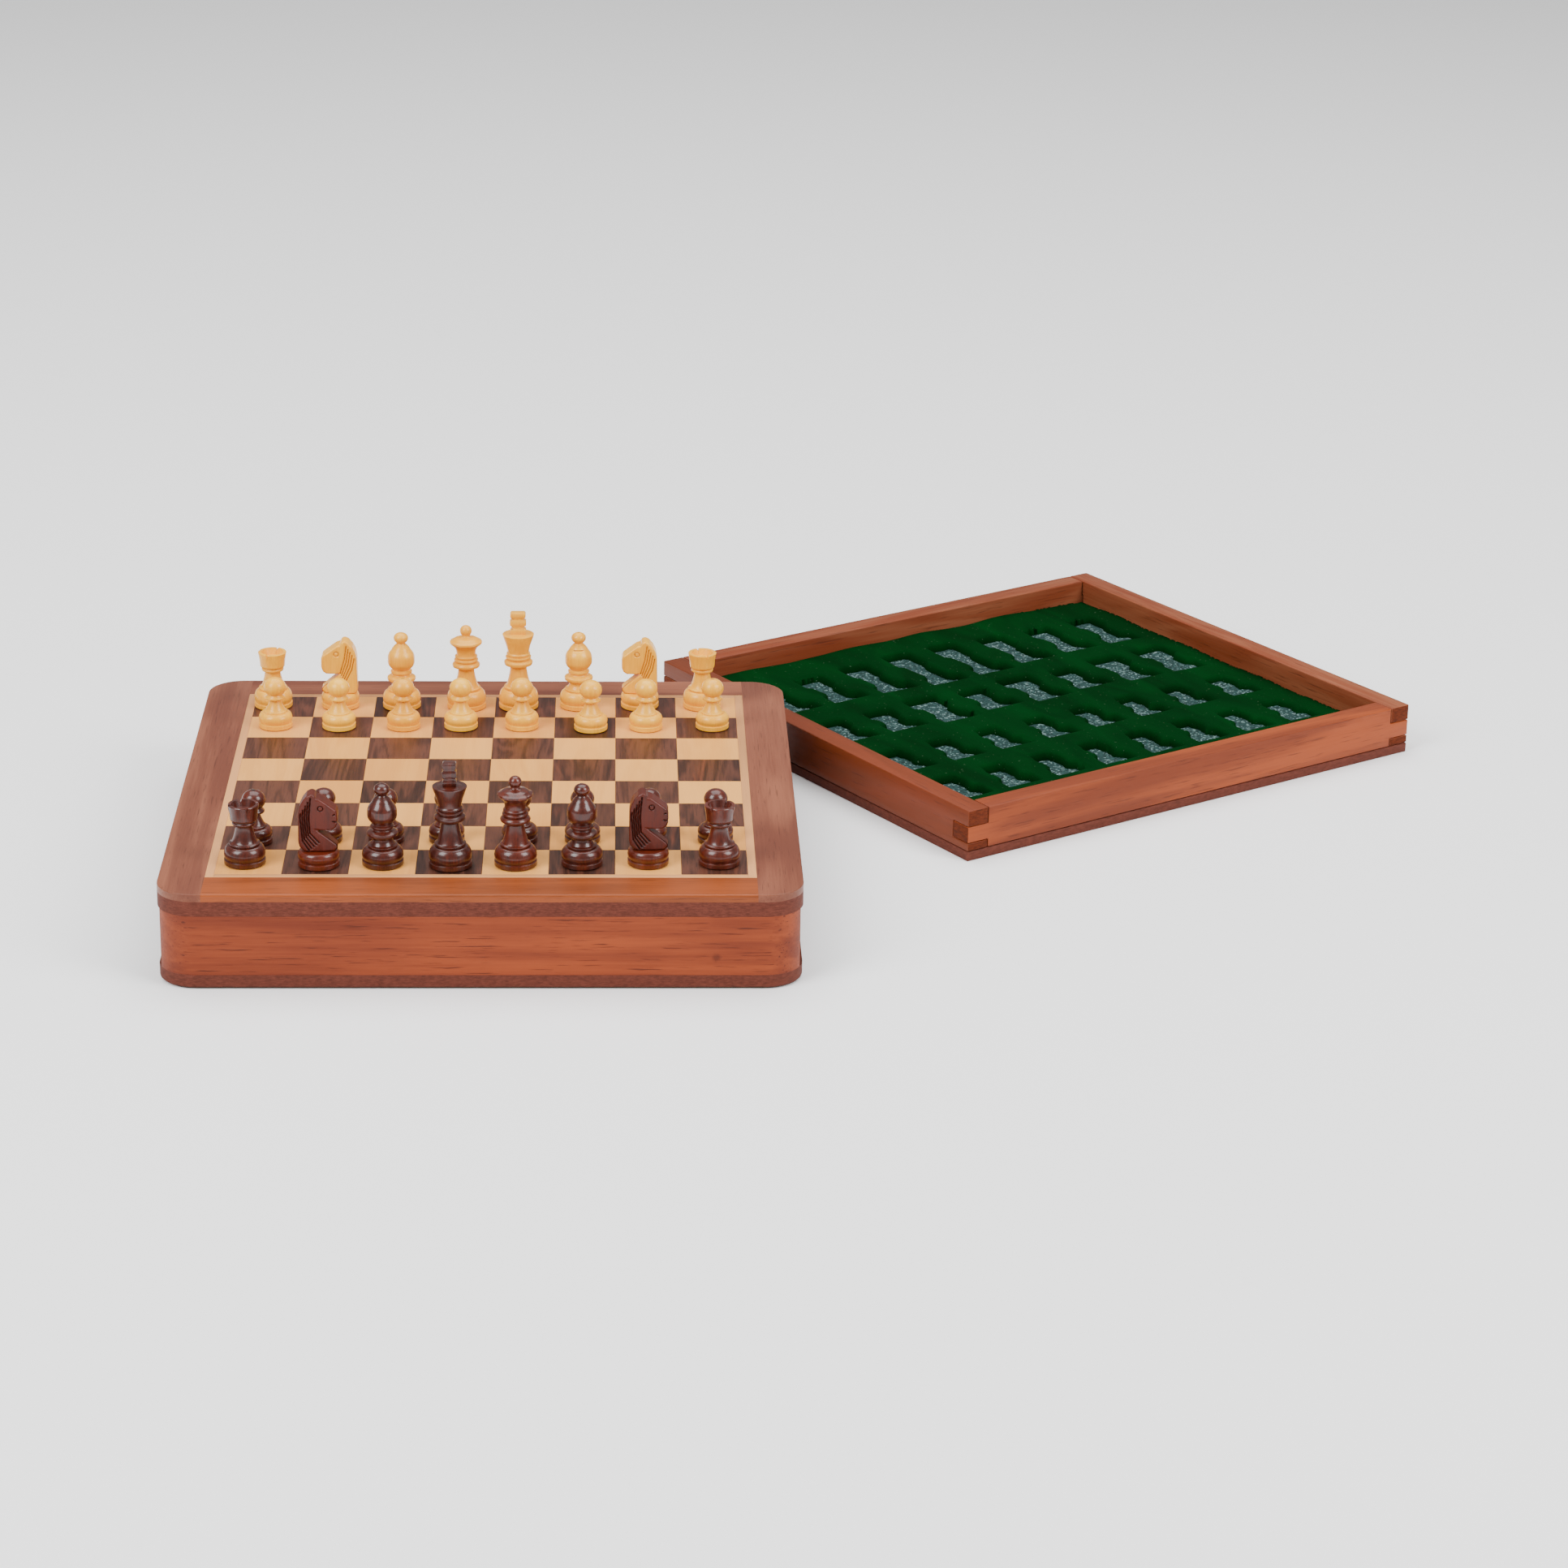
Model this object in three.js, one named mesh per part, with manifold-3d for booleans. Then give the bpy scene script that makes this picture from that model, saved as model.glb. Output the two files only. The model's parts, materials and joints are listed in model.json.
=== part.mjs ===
// Magnetic travel chess set: a shallow box whose lid is the board, a tray that slides right through
// the box, and thirty-two turned pieces. The tray is drawn out and set down askew beside the box.
// Millimetres, +Z up, +X to the right and +Y away from the near player. The origin is the centre of
// the box's underside.

import * as THREE from 'three';
import { mergeVertices } from 'three/addons/utils/BufferGeometryUtils.js';
import Module from 'manifold-3d';

// ---------------------------------------------------------------------------- driving dimensions

// Board
const SQUARES = 8;
const SQUARE = 26.3;
const BORDER_WIDTH = 3.5;
const RAIL_WIDTH = 18.3;
const FRAME_THICKNESS = 3.1;
const STEEL_THICKNESS = 0.6;

// Box
const CORNER_RADIUS = 15;
const FELT_THICKNESS = 0.5;
const FELT_INSET = 1;
const BOTTOM_PANEL_THICKNESS = 5.5;
const TOP_PANEL_THICKNESS = 6.1;
const WALL_THICKNESS = 9;

// Tray
const TRAY_HEIGHT = 22.8;
const TRAY_PLATE_THICKNESS = 4.3;
const TRAY_WALL_THICKNESS = 10.5;
const LOW_FINGER_HEIGHT = 3.7;
const MIDDLE_FINGER_HEIGHT = 7.1;
const FOAM_THICKNESS = 3.4;
const LINER_THICKNESS = 5.7;

// Where the withdrawn tray stands: turned, its end this far from the box's rounded corner
const TRAY_TURN = THREE.MathUtils.degToRad(33);
const TRAY_STANDS_OFF = 5;
const TRAY_SIDESTEP = -18.2;

// Clearances
const TRAY_HEADROOM = 2;
const TRAY_SIDE_CLEARANCE = 1;
const TRAY_END_INSET = 0.5;
const JOINT_GAP = 0.3;
const RECESS_CLEARANCE = 1.5;

// Turned pieces, as [diameter, height] up the axis from the foot to the top
const PAWN = [[14.4, 0], [14, 5], [6.3, 10.5], [8.8, 13], [6, 14.4], [9, 18], [6.4, 21.2], [0, 22.3]];
const ROOK = [[16.5, 0], [16.5, 5], [12, 9.2], [8.7, 10.5], [6.6, 16], [8.7, 17.8], [12.4, 22], [12.8, 25],
  [8.8, 25], [8, 21.5], [0, 21.5]];
const KNIGHT_BASE = [[16.5, 0], [16.5, 5], [14, 6.8], [0, 6.8]];
const BISHOP = [[16.5, 0], [16.3, 5], [13, 8], [7.8, 11], [12, 13.6], [8.5, 17.8], [11.7, 22.5], [3.7, 28.5],
  [6.3, 31.5], [4.4, 33.6], [0, 34.2]];
const QUEEN = [[17, 0], [16.6, 5.5], [12, 9.5], [8.5, 11.5], [7.1, 17.5], [12, 20.3], [7.6, 25.5], [13.8, 30],
  [4, 32], [5.3, 35], [3.6, 37.1], [0, 37.5]];
const KING = [[17.2, 0], [16.6, 5.5], [12.5, 10], [9.3, 12], [7.1, 18.5], [12.5, 21.3], [8.9, 26], [13.6, 33],
  [0, 34.8]];
const SIDES = 12;

// The king's finial: a flat block with two pinches, standing on the crown
const FINIAL_WIDTH = 7.4;
const FINIAL_DEPTH = 4.8;
const FINIAL_PINCH = 1;
const FINIAL_LOW = 33.6;
const FINIAL_HIGH = 43.6;

// The knight's flat head, as [forwards, up] from the axis of its base
const HEAD_DEPTH = 8;
const KNIGHT_HEAD = [[6.6, 6.8], [8, 8.5], [7, 10], [0, 16], [5.9, 15.9], [7.9, 18.2], [7.9, 24.2], [0.6, 30.3],
  [-0.1, 29.5], [-2.2, 31.2], [-5.8, 28.4], [-7.5, 23.9], [-7.7, 7.8], [-6.5, 6.8]];

// Set-up: each piece with how far it stands off the middle of its square, [right, away]
const DARK_BACK_RANK = [
  { kind: 'rook', off: [-2, -1] }, { kind: 'knight', off: [1, -3] },
  { kind: 'bishop', off: [0, -2] }, { kind: 'king', off: [0.5, -3.5] },
  { kind: 'queen', off: [0, -2.5] }, { kind: 'bishop', off: [0, -2] },
  { kind: 'knight', off: [0, -1] }, { kind: 'rook', off: [2, -1] },
];
const DARK_PAWNS = [[0, -4.5], [1.5, -2.5], [0, -2.5], [-2, -2.5], [1, -2.5], [0, -2.5], [0.5, -2.5], [1, -2.5]]
  .map((off) => ({ kind: 'pawn', off }));
const LIGHT_PAWNS = [[-2, 1], [-1, 0], [0.5, 0.5], [-1, 0.5], [-1, 1], [2.5, -1.5], [0, 0], [2.5, 1]]
  .map((off) => ({ kind: 'pawn', off }));
const LIGHT_BACK_RANK = [
  { kind: 'rook', off: [-5, 1.5] }, { kind: 'knight', off: [-2, 1.5] },
  { kind: 'bishop', off: [-1.5, 1] }, { kind: 'queen', off: [0.5, 1] },
  { kind: 'king', off: [-3, 1] }, { kind: 'bishop', off: [-3, 2] },
  { kind: 'knight', off: [-2.5, 2] }, { kind: 'rook', off: [-1.5, 2] },
];

// The tray's recesses, row by row from the far side, and how the free depth is shared round them
const RECESS_ROWS = [
  ['bishop', 'bishop', 'queen', 'king', 'king', 'queen', 'bishop', 'bishop'],
  ['rook', 'rook', 'knight', 'rook', 'knight', 'rook', 'knight', 'knight'],
  Array(8).fill('pawn'),
  Array(8).fill('pawn'),
];
const ROW_SPACING = [17, 10, 16, 15, 24];
const RECESS_MARGIN = 7;
const RECESS_FOOT_HEIGHT = 7; // how far the foot's width runs up a recess
const RECESS_HEAD_SHARE = 0.4; // the head's part of a recess's length
const RECESS_HEAD_WIDTH = 0.78; // the head's width as a part of the foot's
const RECESS_STEM_WIDTH = 0.58; // the stem's width as a part of the foot's
const RECESS_KNIGHT_WIDTH = 0.7; // the same for the knight's neck
const RECESS_SLOPE = 3; // how far a recess takes to widen from stem to head
const RECESS_CORNER_CUT = 1.5; // the corners cut off a recess's head

// ------------------------------------------------------------------------------- derived sizes

const FIELD = SQUARES * SQUARE;
const FRAME_INNER = FIELD / 2 + BORDER_WIDTH;
const HALF = FRAME_INNER + RAIL_WIDTH;
const CORNER = Math.min(CORNER_RADIUS, RAIL_WIDTH);

const WALL_LOW = FELT_THICKNESS + BOTTOM_PANEL_THICKNESS;
const TOP_PANEL_LOW = WALL_LOW + TRAY_HEIGHT + TRAY_HEADROOM;
const FRAME_LOW = TOP_PANEL_LOW + TOP_PANEL_THICKNESS;
const BOARD_TOP = FRAME_LOW + FRAME_THICKNESS;

const TRAY_LENGTH = 2 * (HALF - TRAY_END_INSET);
const TRAY_WIDTH = 2 * (HALF - WALL_THICKNESS - TRAY_SIDE_CLEARANCE);
const TRAY_WALL_LOW = TRAY_PLATE_THICKNESS + JOINT_GAP;
const WELL_LENGTH = TRAY_LENGTH - 2 * (TRAY_WALL_THICKNESS + JOINT_GAP);
const WELL_WIDTH = TRAY_WIDTH - 2 * (TRAY_WALL_THICKNESS + JOINT_GAP);
const LINER_LOW = TRAY_WALL_LOW + FOAM_THICKNESS + JOINT_GAP;

const PROFILES = { pawn: PAWN, rook: ROOK, knight: KNIGHT_BASE, bishop: BISHOP, queen: QUEEN, king: KING };

// ------------------------------------------------------------------------------------ materials

const wood = (color, roughness) => new THREE.MeshStandardMaterial({ color, roughness, metalness: 0 });
const MATERIALS = {
  rail: () => wood(0x9a6a52, 0.35),
  border: () => wood(0xd8b48c, 0.35),
  field: () => wood(0xa98a72, 0.3),
  steel: () => new THREE.MeshStandardMaterial({ color: 0x8d9094, roughness: 0.45, metalness: 1 }),
  panel: () => wood(0x6b3a33, 0.55),
  wall: () => wood(0xa9603a, 0.5),
  felt: () => wood(0x1c3a22, 1),
  tray: () => wood(0xb0663f, 0.55),
  foam: () => wood(0x6f8288, 0.9),
  velvet: () => wood(0x0b4a1e, 1),
  dark: () => wood(0x4a1f14, 0.25),
  light: () => wood(0xe0b45c, 0.4),
};

// ------------------------------------------------------------------------------ shape functions

const wasm = await Module();
wasm.setup();

/** A closed geometry as a manifold solid. */
function solid(geometry) {
  const bare = geometry.clone();
  bare.deleteAttribute('normal');
  bare.deleteAttribute('uv');
  const merged = mergeVertices(bare, 1e-4);
  return new wasm.Manifold(new wasm.Mesh({
    numProp: 3,
    vertProperties: new Float32Array(merged.attributes.position.array),
    triVerts: new Uint32Array(merged.index.array),
  }));
}

/** A manifold solid as a three.js geometry. */
function fromSolid(manifold) {
  const mesh = manifold.getMesh();
  const geometry = new THREE.BufferGeometry();
  geometry.setAttribute('position', new THREE.BufferAttribute(mesh.vertProperties, 3));
  geometry.setIndex(new THREE.BufferAttribute(mesh.triVerts, 1));
  geometry.computeVertexNormals();
  return geometry;
}

/** A flat outline raised from one height to another. */
function raise(shape, low, high) {
  const geometry = new THREE.ExtrudeGeometry(shape, {
    depth: high - low, bevelEnabled: false, steps: 1, curveSegments: 6,
  });
  return geometry.translate(0, 0, low);
}

/** A box between two opposite corners. */
function block(x0, y0, z0, x1, y1, z1) {
  return new THREE.BoxGeometry(x1 - x0, y1 - y0, z1 - z0)
    .translate((x0 + x1) / 2, (y0 + y1) / 2, (z0 + z1) / 2);
}

/** An outline in the XZ plane given depth along Y, centred on y = 0. */
function upright(points, depth) {
  const shape = new THREE.Shape(points.map(([x, z]) => new THREE.Vector2(x, z)));
  return new THREE.ExtrudeGeometry(shape, { depth, bevelEnabled: false, steps: 1 })
    .rotateX(Math.PI / 2)
    .translate(0, depth / 2, 0);
}

/** The box's outline: a square with rounded corners. */
function plateOutline(half, radius) {
  const shape = new THREE.Shape();
  const c = half - radius;
  shape.absarc(c, c, radius, 0, Math.PI / 2);
  shape.absarc(-c, c, radius, Math.PI / 2, Math.PI);
  shape.absarc(-c, -c, radius, Math.PI, 1.5 * Math.PI);
  shape.absarc(c, -c, radius, 1.5 * Math.PI, 2 * Math.PI);
  return shape;
}

/** The strip of that outline along its near side, as wide as asked, with its rounded outer corners. */
function edgeOutline(width) {
  const c = HALF - CORNER;
  const inner = -HALF + width;
  const turn = Math.asin(Math.max(0, (CORNER - width) / CORNER));
  const shape = new THREE.Shape();
  shape.absarc(-c, -c, CORNER, Math.PI + turn, 1.5 * Math.PI);
  shape.absarc(c, -c, CORNER, 1.5 * Math.PI, 2 * Math.PI - turn);
  if (width > CORNER) {
    shape.lineTo(HALF, inner);
    shape.lineTo(-HALF, inner);
  }
  return shape;
}

/** A turned solid from a list of [diameter, height]. */
function turned(profile) {
  const points = profile.map(([diameter, height]) => new THREE.Vector2(diameter / 2, height));
  return new THREE.LatheGeometry([new THREE.Vector2(0, profile[0][1]), ...points], SIDES)
    .rotateX(Math.PI / 2);
}

/** The king: its turned body joined to the pinched block of the finial. */
function kingGeometry() {
  const w = FINIAL_WIDTH / 2;
  const step = (FINIAL_HIGH - FINIAL_LOW) / 5;
  const right = [[w, 0], [w, 1], [w - FINIAL_PINCH, 1.5], [w, 2.2], [w, 3], [w - FINIAL_PINCH, 3.6], [w, 4.2],
    [w - FINIAL_PINCH / 2, 5]].map(([x, k]) => [x, FINIAL_LOW + k * step]);
  const left = right.map(([x, z]) => [-x, z]).reverse();
  const finial = upright([...right, ...left], FINIAL_DEPTH);
  return fromSolid(solid(turned(KING)).add(solid(finial)));
}

/** The knight's head, facing +X or -X. */
function headGeometry(facing) {
  return upright(KNIGHT_HEAD.map(([x, z]) => [x * facing, z]), HEAD_DEPTH);
}

/** How long a piece of one kind is when it lies down. */
function lengthOf(kind) {
  if (kind === 'knight') return Math.max(...KNIGHT_HEAD.map(([, up]) => up));
  if (kind === 'king') return FINIAL_HIGH;
  return Math.max(...PROFILES[kind].map(([, up]) => up));
}

/** The recess for one piece lying down with its head towards +Y, about its own middle. */
function recessOutline(kind) {
  const length = lengthOf(kind) + 2 * RECESS_CLEARANCE;
  const foot = PROFILES[kind][0][0] / 2 + RECESS_CLEARANCE;
  const head = kind === 'knight' ? foot : RECESS_HEAD_WIDTH * foot;
  const stem = (kind === 'knight' ? RECESS_KNIGHT_WIDTH : RECESS_STEM_WIDTH) * foot;
  const low = -length / 2;
  const high = length / 2;
  const footTop = low + RECESS_FOOT_HEIGHT + RECESS_CLEARANCE;
  const headLow = high - RECESS_HEAD_SHARE * length;
  const right = [[foot, low], [foot, footTop], [stem, footTop + RECESS_SLOPE], [stem, headLow],
    [head, headLow + RECESS_SLOPE], [head, high - RECESS_CORNER_CUT], [head - RECESS_CORNER_CUT, high]];
  return kind === 'pawn' ? right.filter((_, i) => i !== 3 && i !== 5) : right;
}

// ------------------------------------------------------------------------------------ assembly

const set = new THREE.Group();

/** Adds one named sub-part to a group. */
function part(group, name, geometry, material) {
  const mesh = new THREE.Mesh(geometry, MATERIALS[material]());
  mesh.name = name;
  group.add(mesh);
  return mesh;
}

/** The box: felt, bottom panel, two long walls and the top panel, open at its left and right ends. */
function addBox(group) {
  part(group, 'base_felt', raise(plateOutline(HALF - FELT_INSET, CORNER), 0, FELT_THICKNESS), 'felt');
  part(group, 'bottom_panel', raise(plateOutline(HALF, CORNER), FELT_THICKNESS, WALL_LOW), 'panel');
  part(group, 'front_wall', raise(edgeOutline(WALL_THICKNESS), WALL_LOW, TOP_PANEL_LOW), 'wall');
  part(group, 'back_wall', raise(edgeOutline(WALL_THICKNESS), WALL_LOW, TOP_PANEL_LOW), 'wall')
    .rotation.z = Math.PI;
  part(group, 'top_panel', raise(plateOutline(HALF, CORNER), TOP_PANEL_LOW, FRAME_LOW), 'panel');
}

/** The board on the top panel: a steel sheet under the veneered field, a pale border and four rails. */
function addBoard(group) {
  const half = FIELD / 2;
  const fieldLow = FRAME_LOW + STEEL_THICKNESS;
  part(group, 'steel_sheet', block(-half, -half, FRAME_LOW, half, half, fieldLow), 'steel');
  part(group, 'playing_field', block(-half, -half, fieldLow, half, half, BOARD_TOP), 'field');

  const strip = (x0, y0, x1, y1) => block(x0, y0, FRAME_LOW, x1, y1, BOARD_TOP);
  part(group, 'border_front', strip(-half, -FRAME_INNER, half, -half), 'border');
  part(group, 'border_back', strip(-half, half, half, FRAME_INNER), 'border');
  part(group, 'border_left', strip(-FRAME_INNER, -FRAME_INNER, -half, FRAME_INNER), 'border');
  part(group, 'border_right', strip(half, -FRAME_INNER, FRAME_INNER, FRAME_INNER), 'border');

  part(group, 'rail_front', strip(-FRAME_INNER, -HALF, FRAME_INNER, -FRAME_INNER), 'rail');
  part(group, 'rail_back', strip(-FRAME_INNER, FRAME_INNER, FRAME_INNER, HALF), 'rail');
  const sideRail = raise(edgeOutline(RAIL_WIDTH), FRAME_LOW, BOARD_TOP);
  part(group, 'rail_left', sideRail, 'rail').rotation.z = -Math.PI / 2;
  part(group, 'rail_right', sideRail.clone(), 'rail').rotation.z = Math.PI / 2;
}

/** One tray wall in its own length and height: a middle finger at each end, or a notch for one. */
function fingerOutline(half, shoulder, fingerOut) {
  const low = TRAY_WALL_LOW + LOW_FINGER_HEIGHT;
  const high = low + MIDDLE_FINGER_HEIGHT;
  const gap = fingerOut ? 0 : JOINT_GAP;
  const middle = fingerOut ? half : shoulder;
  const outer = fingerOut ? shoulder : half;
  const right = [[outer, TRAY_WALL_LOW], [outer, low - gap], [middle, low - gap], [middle, high + gap],
    [outer, high + gap], [outer, TRAY_HEIGHT]];
  return [...right, ...right.map(([x, z]) => [-x, z]).reverse()];
}

/** The tray's bottom plate and its four walls, finger-jointed at the corners. */
function addTrayFrame(group) {
  const halfLength = TRAY_LENGTH / 2;
  const halfWidth = TRAY_WIDTH / 2;
  part(group, 'tray_bottom', block(-halfLength, -halfWidth, 0, halfLength, halfWidth, TRAY_PLATE_THICKNESS),
    'panel');

  const inset = TRAY_WALL_THICKNESS + JOINT_GAP;
  const side = upright(fingerOutline(halfLength, halfLength - inset, true), TRAY_WALL_THICKNESS);
  const sideY = halfWidth - TRAY_WALL_THICKNESS / 2;
  part(group, 'tray_side_near', side, 'tray').position.y = -sideY;
  part(group, 'tray_side_far', side.clone(), 'tray').position.y = sideY;

  const end = upright(fingerOutline(halfWidth, halfWidth - inset, false), TRAY_WALL_THICKNESS)
    .rotateZ(Math.PI / 2);
  const endX = halfLength - TRAY_WALL_THICKNESS / 2;
  part(group, 'tray_end_near', end, 'tray').position.x = -endX;
  part(group, 'tray_end_far', end.clone(), 'tray').position.x = endX;
}

/** The foam floor and, over it, the velvet-covered liner with a recess for every piece. */
function addTrayLining(group) {
  const x = WELL_LENGTH / 2;
  const y = WELL_WIDTH / 2;
  const foamHigh = TRAY_WALL_LOW + FOAM_THICKNESS;
  part(group, 'foam_base', block(-x, -y, TRAY_WALL_LOW, x, y, foamHigh), 'foam');

  const linerHigh = LINER_LOW + LINER_THICKNESS;
  const lengths = RECESS_ROWS.map((row) => Math.max(...row.map(lengthOf)) + 2 * RECESS_CLEARANCE);
  const free = WELL_WIDTH - lengths.reduce((sum, length) => sum + length, 0);
  const share = free / ROW_SPACING.reduce((sum, weight) => sum + weight, 0);
  const pitch = (WELL_LENGTH - 2 * RECESS_MARGIN) / RECESS_ROWS[0].length;
  let liner = solid(block(-x, -y, LINER_LOW, x, y, linerHigh));
  let top = y;
  RECESS_ROWS.forEach((row, r) => {
    top -= share * ROW_SPACING[r];
    const rowY = top - lengths[r] / 2;
    top -= lengths[r];
    row.forEach((kind, column) => {
      const columnX = (column - (row.length - 1) / 2) * pitch;
      const right = recessOutline(kind);
      const outline = [...right, ...right.map(([a, b]) => [-a, b]).reverse()];
      const shape = new THREE.Shape(outline.map(([a, b]) => new THREE.Vector2(columnX + a, rowY + b)));
      liner = liner.subtract(solid(raise(shape, LINER_LOW - 1, linerHigh + 1)));
    });
  });
  part(group, 'velvet_liner', fromSolid(liner), 'velvet');
}

/** The whole tray, standing on the table beside the box's far right corner. */
function addTray(group) {
  const tray = new THREE.Group();
  addTrayFrame(tray);
  addTrayLining(tray);
  const corner = HALF - CORNER;
  const along = TRAY_LENGTH / 2 + CORNER + TRAY_STANDS_OFF;
  const offset = new THREE.Vector2(along, TRAY_SIDESTEP).rotateAround(new THREE.Vector2(), TRAY_TURN);
  tray.position.set(corner + offset.x, corner + offset.y, 0);
  tray.rotation.z = TRAY_TURN;
  group.add(tray);
}

/** One rank of pieces, left to right; rank 0 is the nearest. */
function addRank(group, army, rank, pieces, facing) {
  const counts = {};
  pieces.forEach(({ kind, off }, file) => {
    counts[kind] = (counts[kind] ?? 0) + 1;
    const single = kind === 'king' || kind === 'queen';
    const name = single ? `${army}_${kind}` : `${army}_${kind}_${counts[kind]}`;
    const place = new THREE.Group();
    const middle = (SQUARES - 1) / 2;
    place.position.set((file - middle) * SQUARE + off[0], (rank - middle) * SQUARE + off[1], BOARD_TOP);
    const body = kind === 'king' ? kingGeometry() : turned(PROFILES[kind]);
    part(place, kind === 'knight' ? `${name}_base` : name, body, army);
    if (kind === 'knight') part(place, `${name}_head`, headGeometry(facing), army);
    group.add(place);
  });
}

addBox(set);
addBoard(set);
addTray(set);
addRank(set, 'dark', 0, DARK_BACK_RANK, 1);
addRank(set, 'dark', 1, DARK_PAWNS, 1);
addRank(set, 'light', SQUARES - 2, LIGHT_PAWNS, -1);
addRank(set, 'light', SQUARES - 1, LIGHT_BACK_RANK, -1);

export default set;
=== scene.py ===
"""Magnetic travel chess set: the visible pieces, built round its fixed frame.

The box, the board, the tray, its lining and each kind of man have an operator of their own, listed in the
sidebar. Sizes are in metres, and the outlines of the men in millimetres.
"""

import json
import math
import random

import bmesh
import bpy
from bpy.props import FloatProperty, FloatVectorProperty, IntProperty, PointerProperty
from bpy.types import Operator, Panel, PropertyGroup
from mathutils import Matrix, Vector, noise
from mathutils.bvhtree import BVHTree


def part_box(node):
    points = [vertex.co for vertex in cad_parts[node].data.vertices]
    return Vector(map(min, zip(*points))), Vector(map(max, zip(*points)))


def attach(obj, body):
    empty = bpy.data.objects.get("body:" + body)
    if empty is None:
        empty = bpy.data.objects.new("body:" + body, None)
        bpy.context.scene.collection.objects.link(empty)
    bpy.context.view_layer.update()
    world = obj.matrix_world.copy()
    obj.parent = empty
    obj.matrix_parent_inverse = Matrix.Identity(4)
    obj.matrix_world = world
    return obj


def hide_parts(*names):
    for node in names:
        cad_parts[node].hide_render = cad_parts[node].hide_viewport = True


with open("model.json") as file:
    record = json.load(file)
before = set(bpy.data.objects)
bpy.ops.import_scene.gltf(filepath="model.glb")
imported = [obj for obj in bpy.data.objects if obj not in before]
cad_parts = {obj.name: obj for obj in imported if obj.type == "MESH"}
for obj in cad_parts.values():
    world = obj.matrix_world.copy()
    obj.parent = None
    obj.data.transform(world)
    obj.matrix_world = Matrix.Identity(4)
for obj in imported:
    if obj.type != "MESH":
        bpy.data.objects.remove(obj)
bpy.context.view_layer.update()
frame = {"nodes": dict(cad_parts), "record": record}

bl_info = {
    "name": "Travel Chess Set",
    "version": (1, 0, 0),
    "blender": (4, 5, 0),
    "location": "3D View > Sidebar > Chess",
    "description": "Makes a magnetic travel chess set with its box, board, lined tray and men",
    "category": "Object",
}

MM = 0.001
UP = Vector((0, 0, 1))
MERGED = 2e-6  # corners nearer than this are one corner
SQUARES = 8


def corners(node):
    """The lowest and the highest corner of a node's box."""
    return [Vector(corner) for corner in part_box(node)]


FIELD_LOW, FIELD_HIGH = corners("playing_field")
SQUARE = (FIELD_HIGH.x - FIELD_LOW.x) / SQUARES
BOARD_TOP = FIELD_HIGH.z


def slide_axis(name):
    """The direction of one of the record's slides."""
    joints = frame["record"]["behaviour"]["joints"]
    return Vector(next(joint["axis"] for joint in joints if joint["name"] == name))


TRAY_AXIS = slide_axis("tray_slide")
TRAY_TURN = math.atan2(TRAY_AXIS.y, TRAY_AXIS.x)
TRAY_LOW, TRAY_HIGH = corners("tray_bottom")
TRAY_MIDDLE = Vector(((TRAY_LOW.x + TRAY_HIGH.x) / 2, (TRAY_LOW.y + TRAY_HIGH.y) / 2, 0))
TRAY_PLACE = Matrix.Translation(TRAY_MIDDLE) @ Matrix.Rotation(TRAY_TURN, 4, "Z")


# --- settings

def colour(name, default):
    """A colour that a user may change."""
    return FloatVectorProperty(name=name, default=default, subtype="COLOR", size=3, min=0, max=1)


def length(name, default):
    """A length in metres that a user may change."""
    return FloatProperty(name=name, default=default, unit="LENGTH", min=0, precision=5)


class BoardSettings(PropertyGroup):
    """Sizes and colours of the board and its frame."""

    veneer: length("Thickness of one square of veneer", 0.6 * MM)
    seam: length("Gap between two squares", 0.03 * MM)
    dark_square: colour("Deep tone of the rosewood squares", (0.022, 0.0070, 0.0045))
    dark_square_pale: colour("Pale tone of the rosewood squares", (0.098, 0.033, 0.019))
    pale_square: colour("Pale tone of the maple squares", (0.735, 0.345, 0.085))
    pale_square_deep: colour("Deep tone of the maple squares", (0.600, 0.250, 0.052))
    rail: colour("Pale tone of the rails", (0.245, 0.083, 0.043))
    rail_deep: colour("Deep tone of the rails", (0.130, 0.036, 0.019))
    front_rail: colour("Pale tone of the front rail", (0.275, 0.060, 0.013))
    border: colour("Tone of the pale strip round the squares", (0.610, 0.280, 0.105))


class BoxSettings(PropertyGroup):
    """Sizes and colours of the box under the board."""

    edge: length("Rounding of the box's edges", 0.5 * MM)
    wall: colour("Pale tone of the box walls", (0.280, 0.050, 0.011))
    wall_deep: colour("Deep tone of the box walls", (0.135, 0.020, 0.005))
    panel: colour("Tone of the stained boards", (0.096, 0.0205, 0.0105))
    felt: colour("Tone of the felt under the box", (0.010, 0.040, 0.016))


class TraySettings(PropertyGroup):
    """Sizes and colours of the tray and its lining."""

    edge: length("Rounding of the tray's edges", 0.45 * MM)
    wood: colour("Pale tone of the tray's walls", (0.300, 0.058, 0.013))
    wood_deep: colour("Deep tone of the tray's walls", (0.160, 0.029, 0.008))
    velvet: colour("Tone of the lining", (0.0003, 0.0200, 0.0028))
    foam: colour("Tone of the foam at the bottom of the recesses", (0.012, 0.033, 0.031))
    pitch: length("Distance between the lining's points", 1.0 * MM)
    foam_rise: length("How far the foam swells up into the recesses", 1.9 * MM)
    roll: length("How far in from a recess the velvet starts to turn down", 1.2 * MM)


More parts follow.
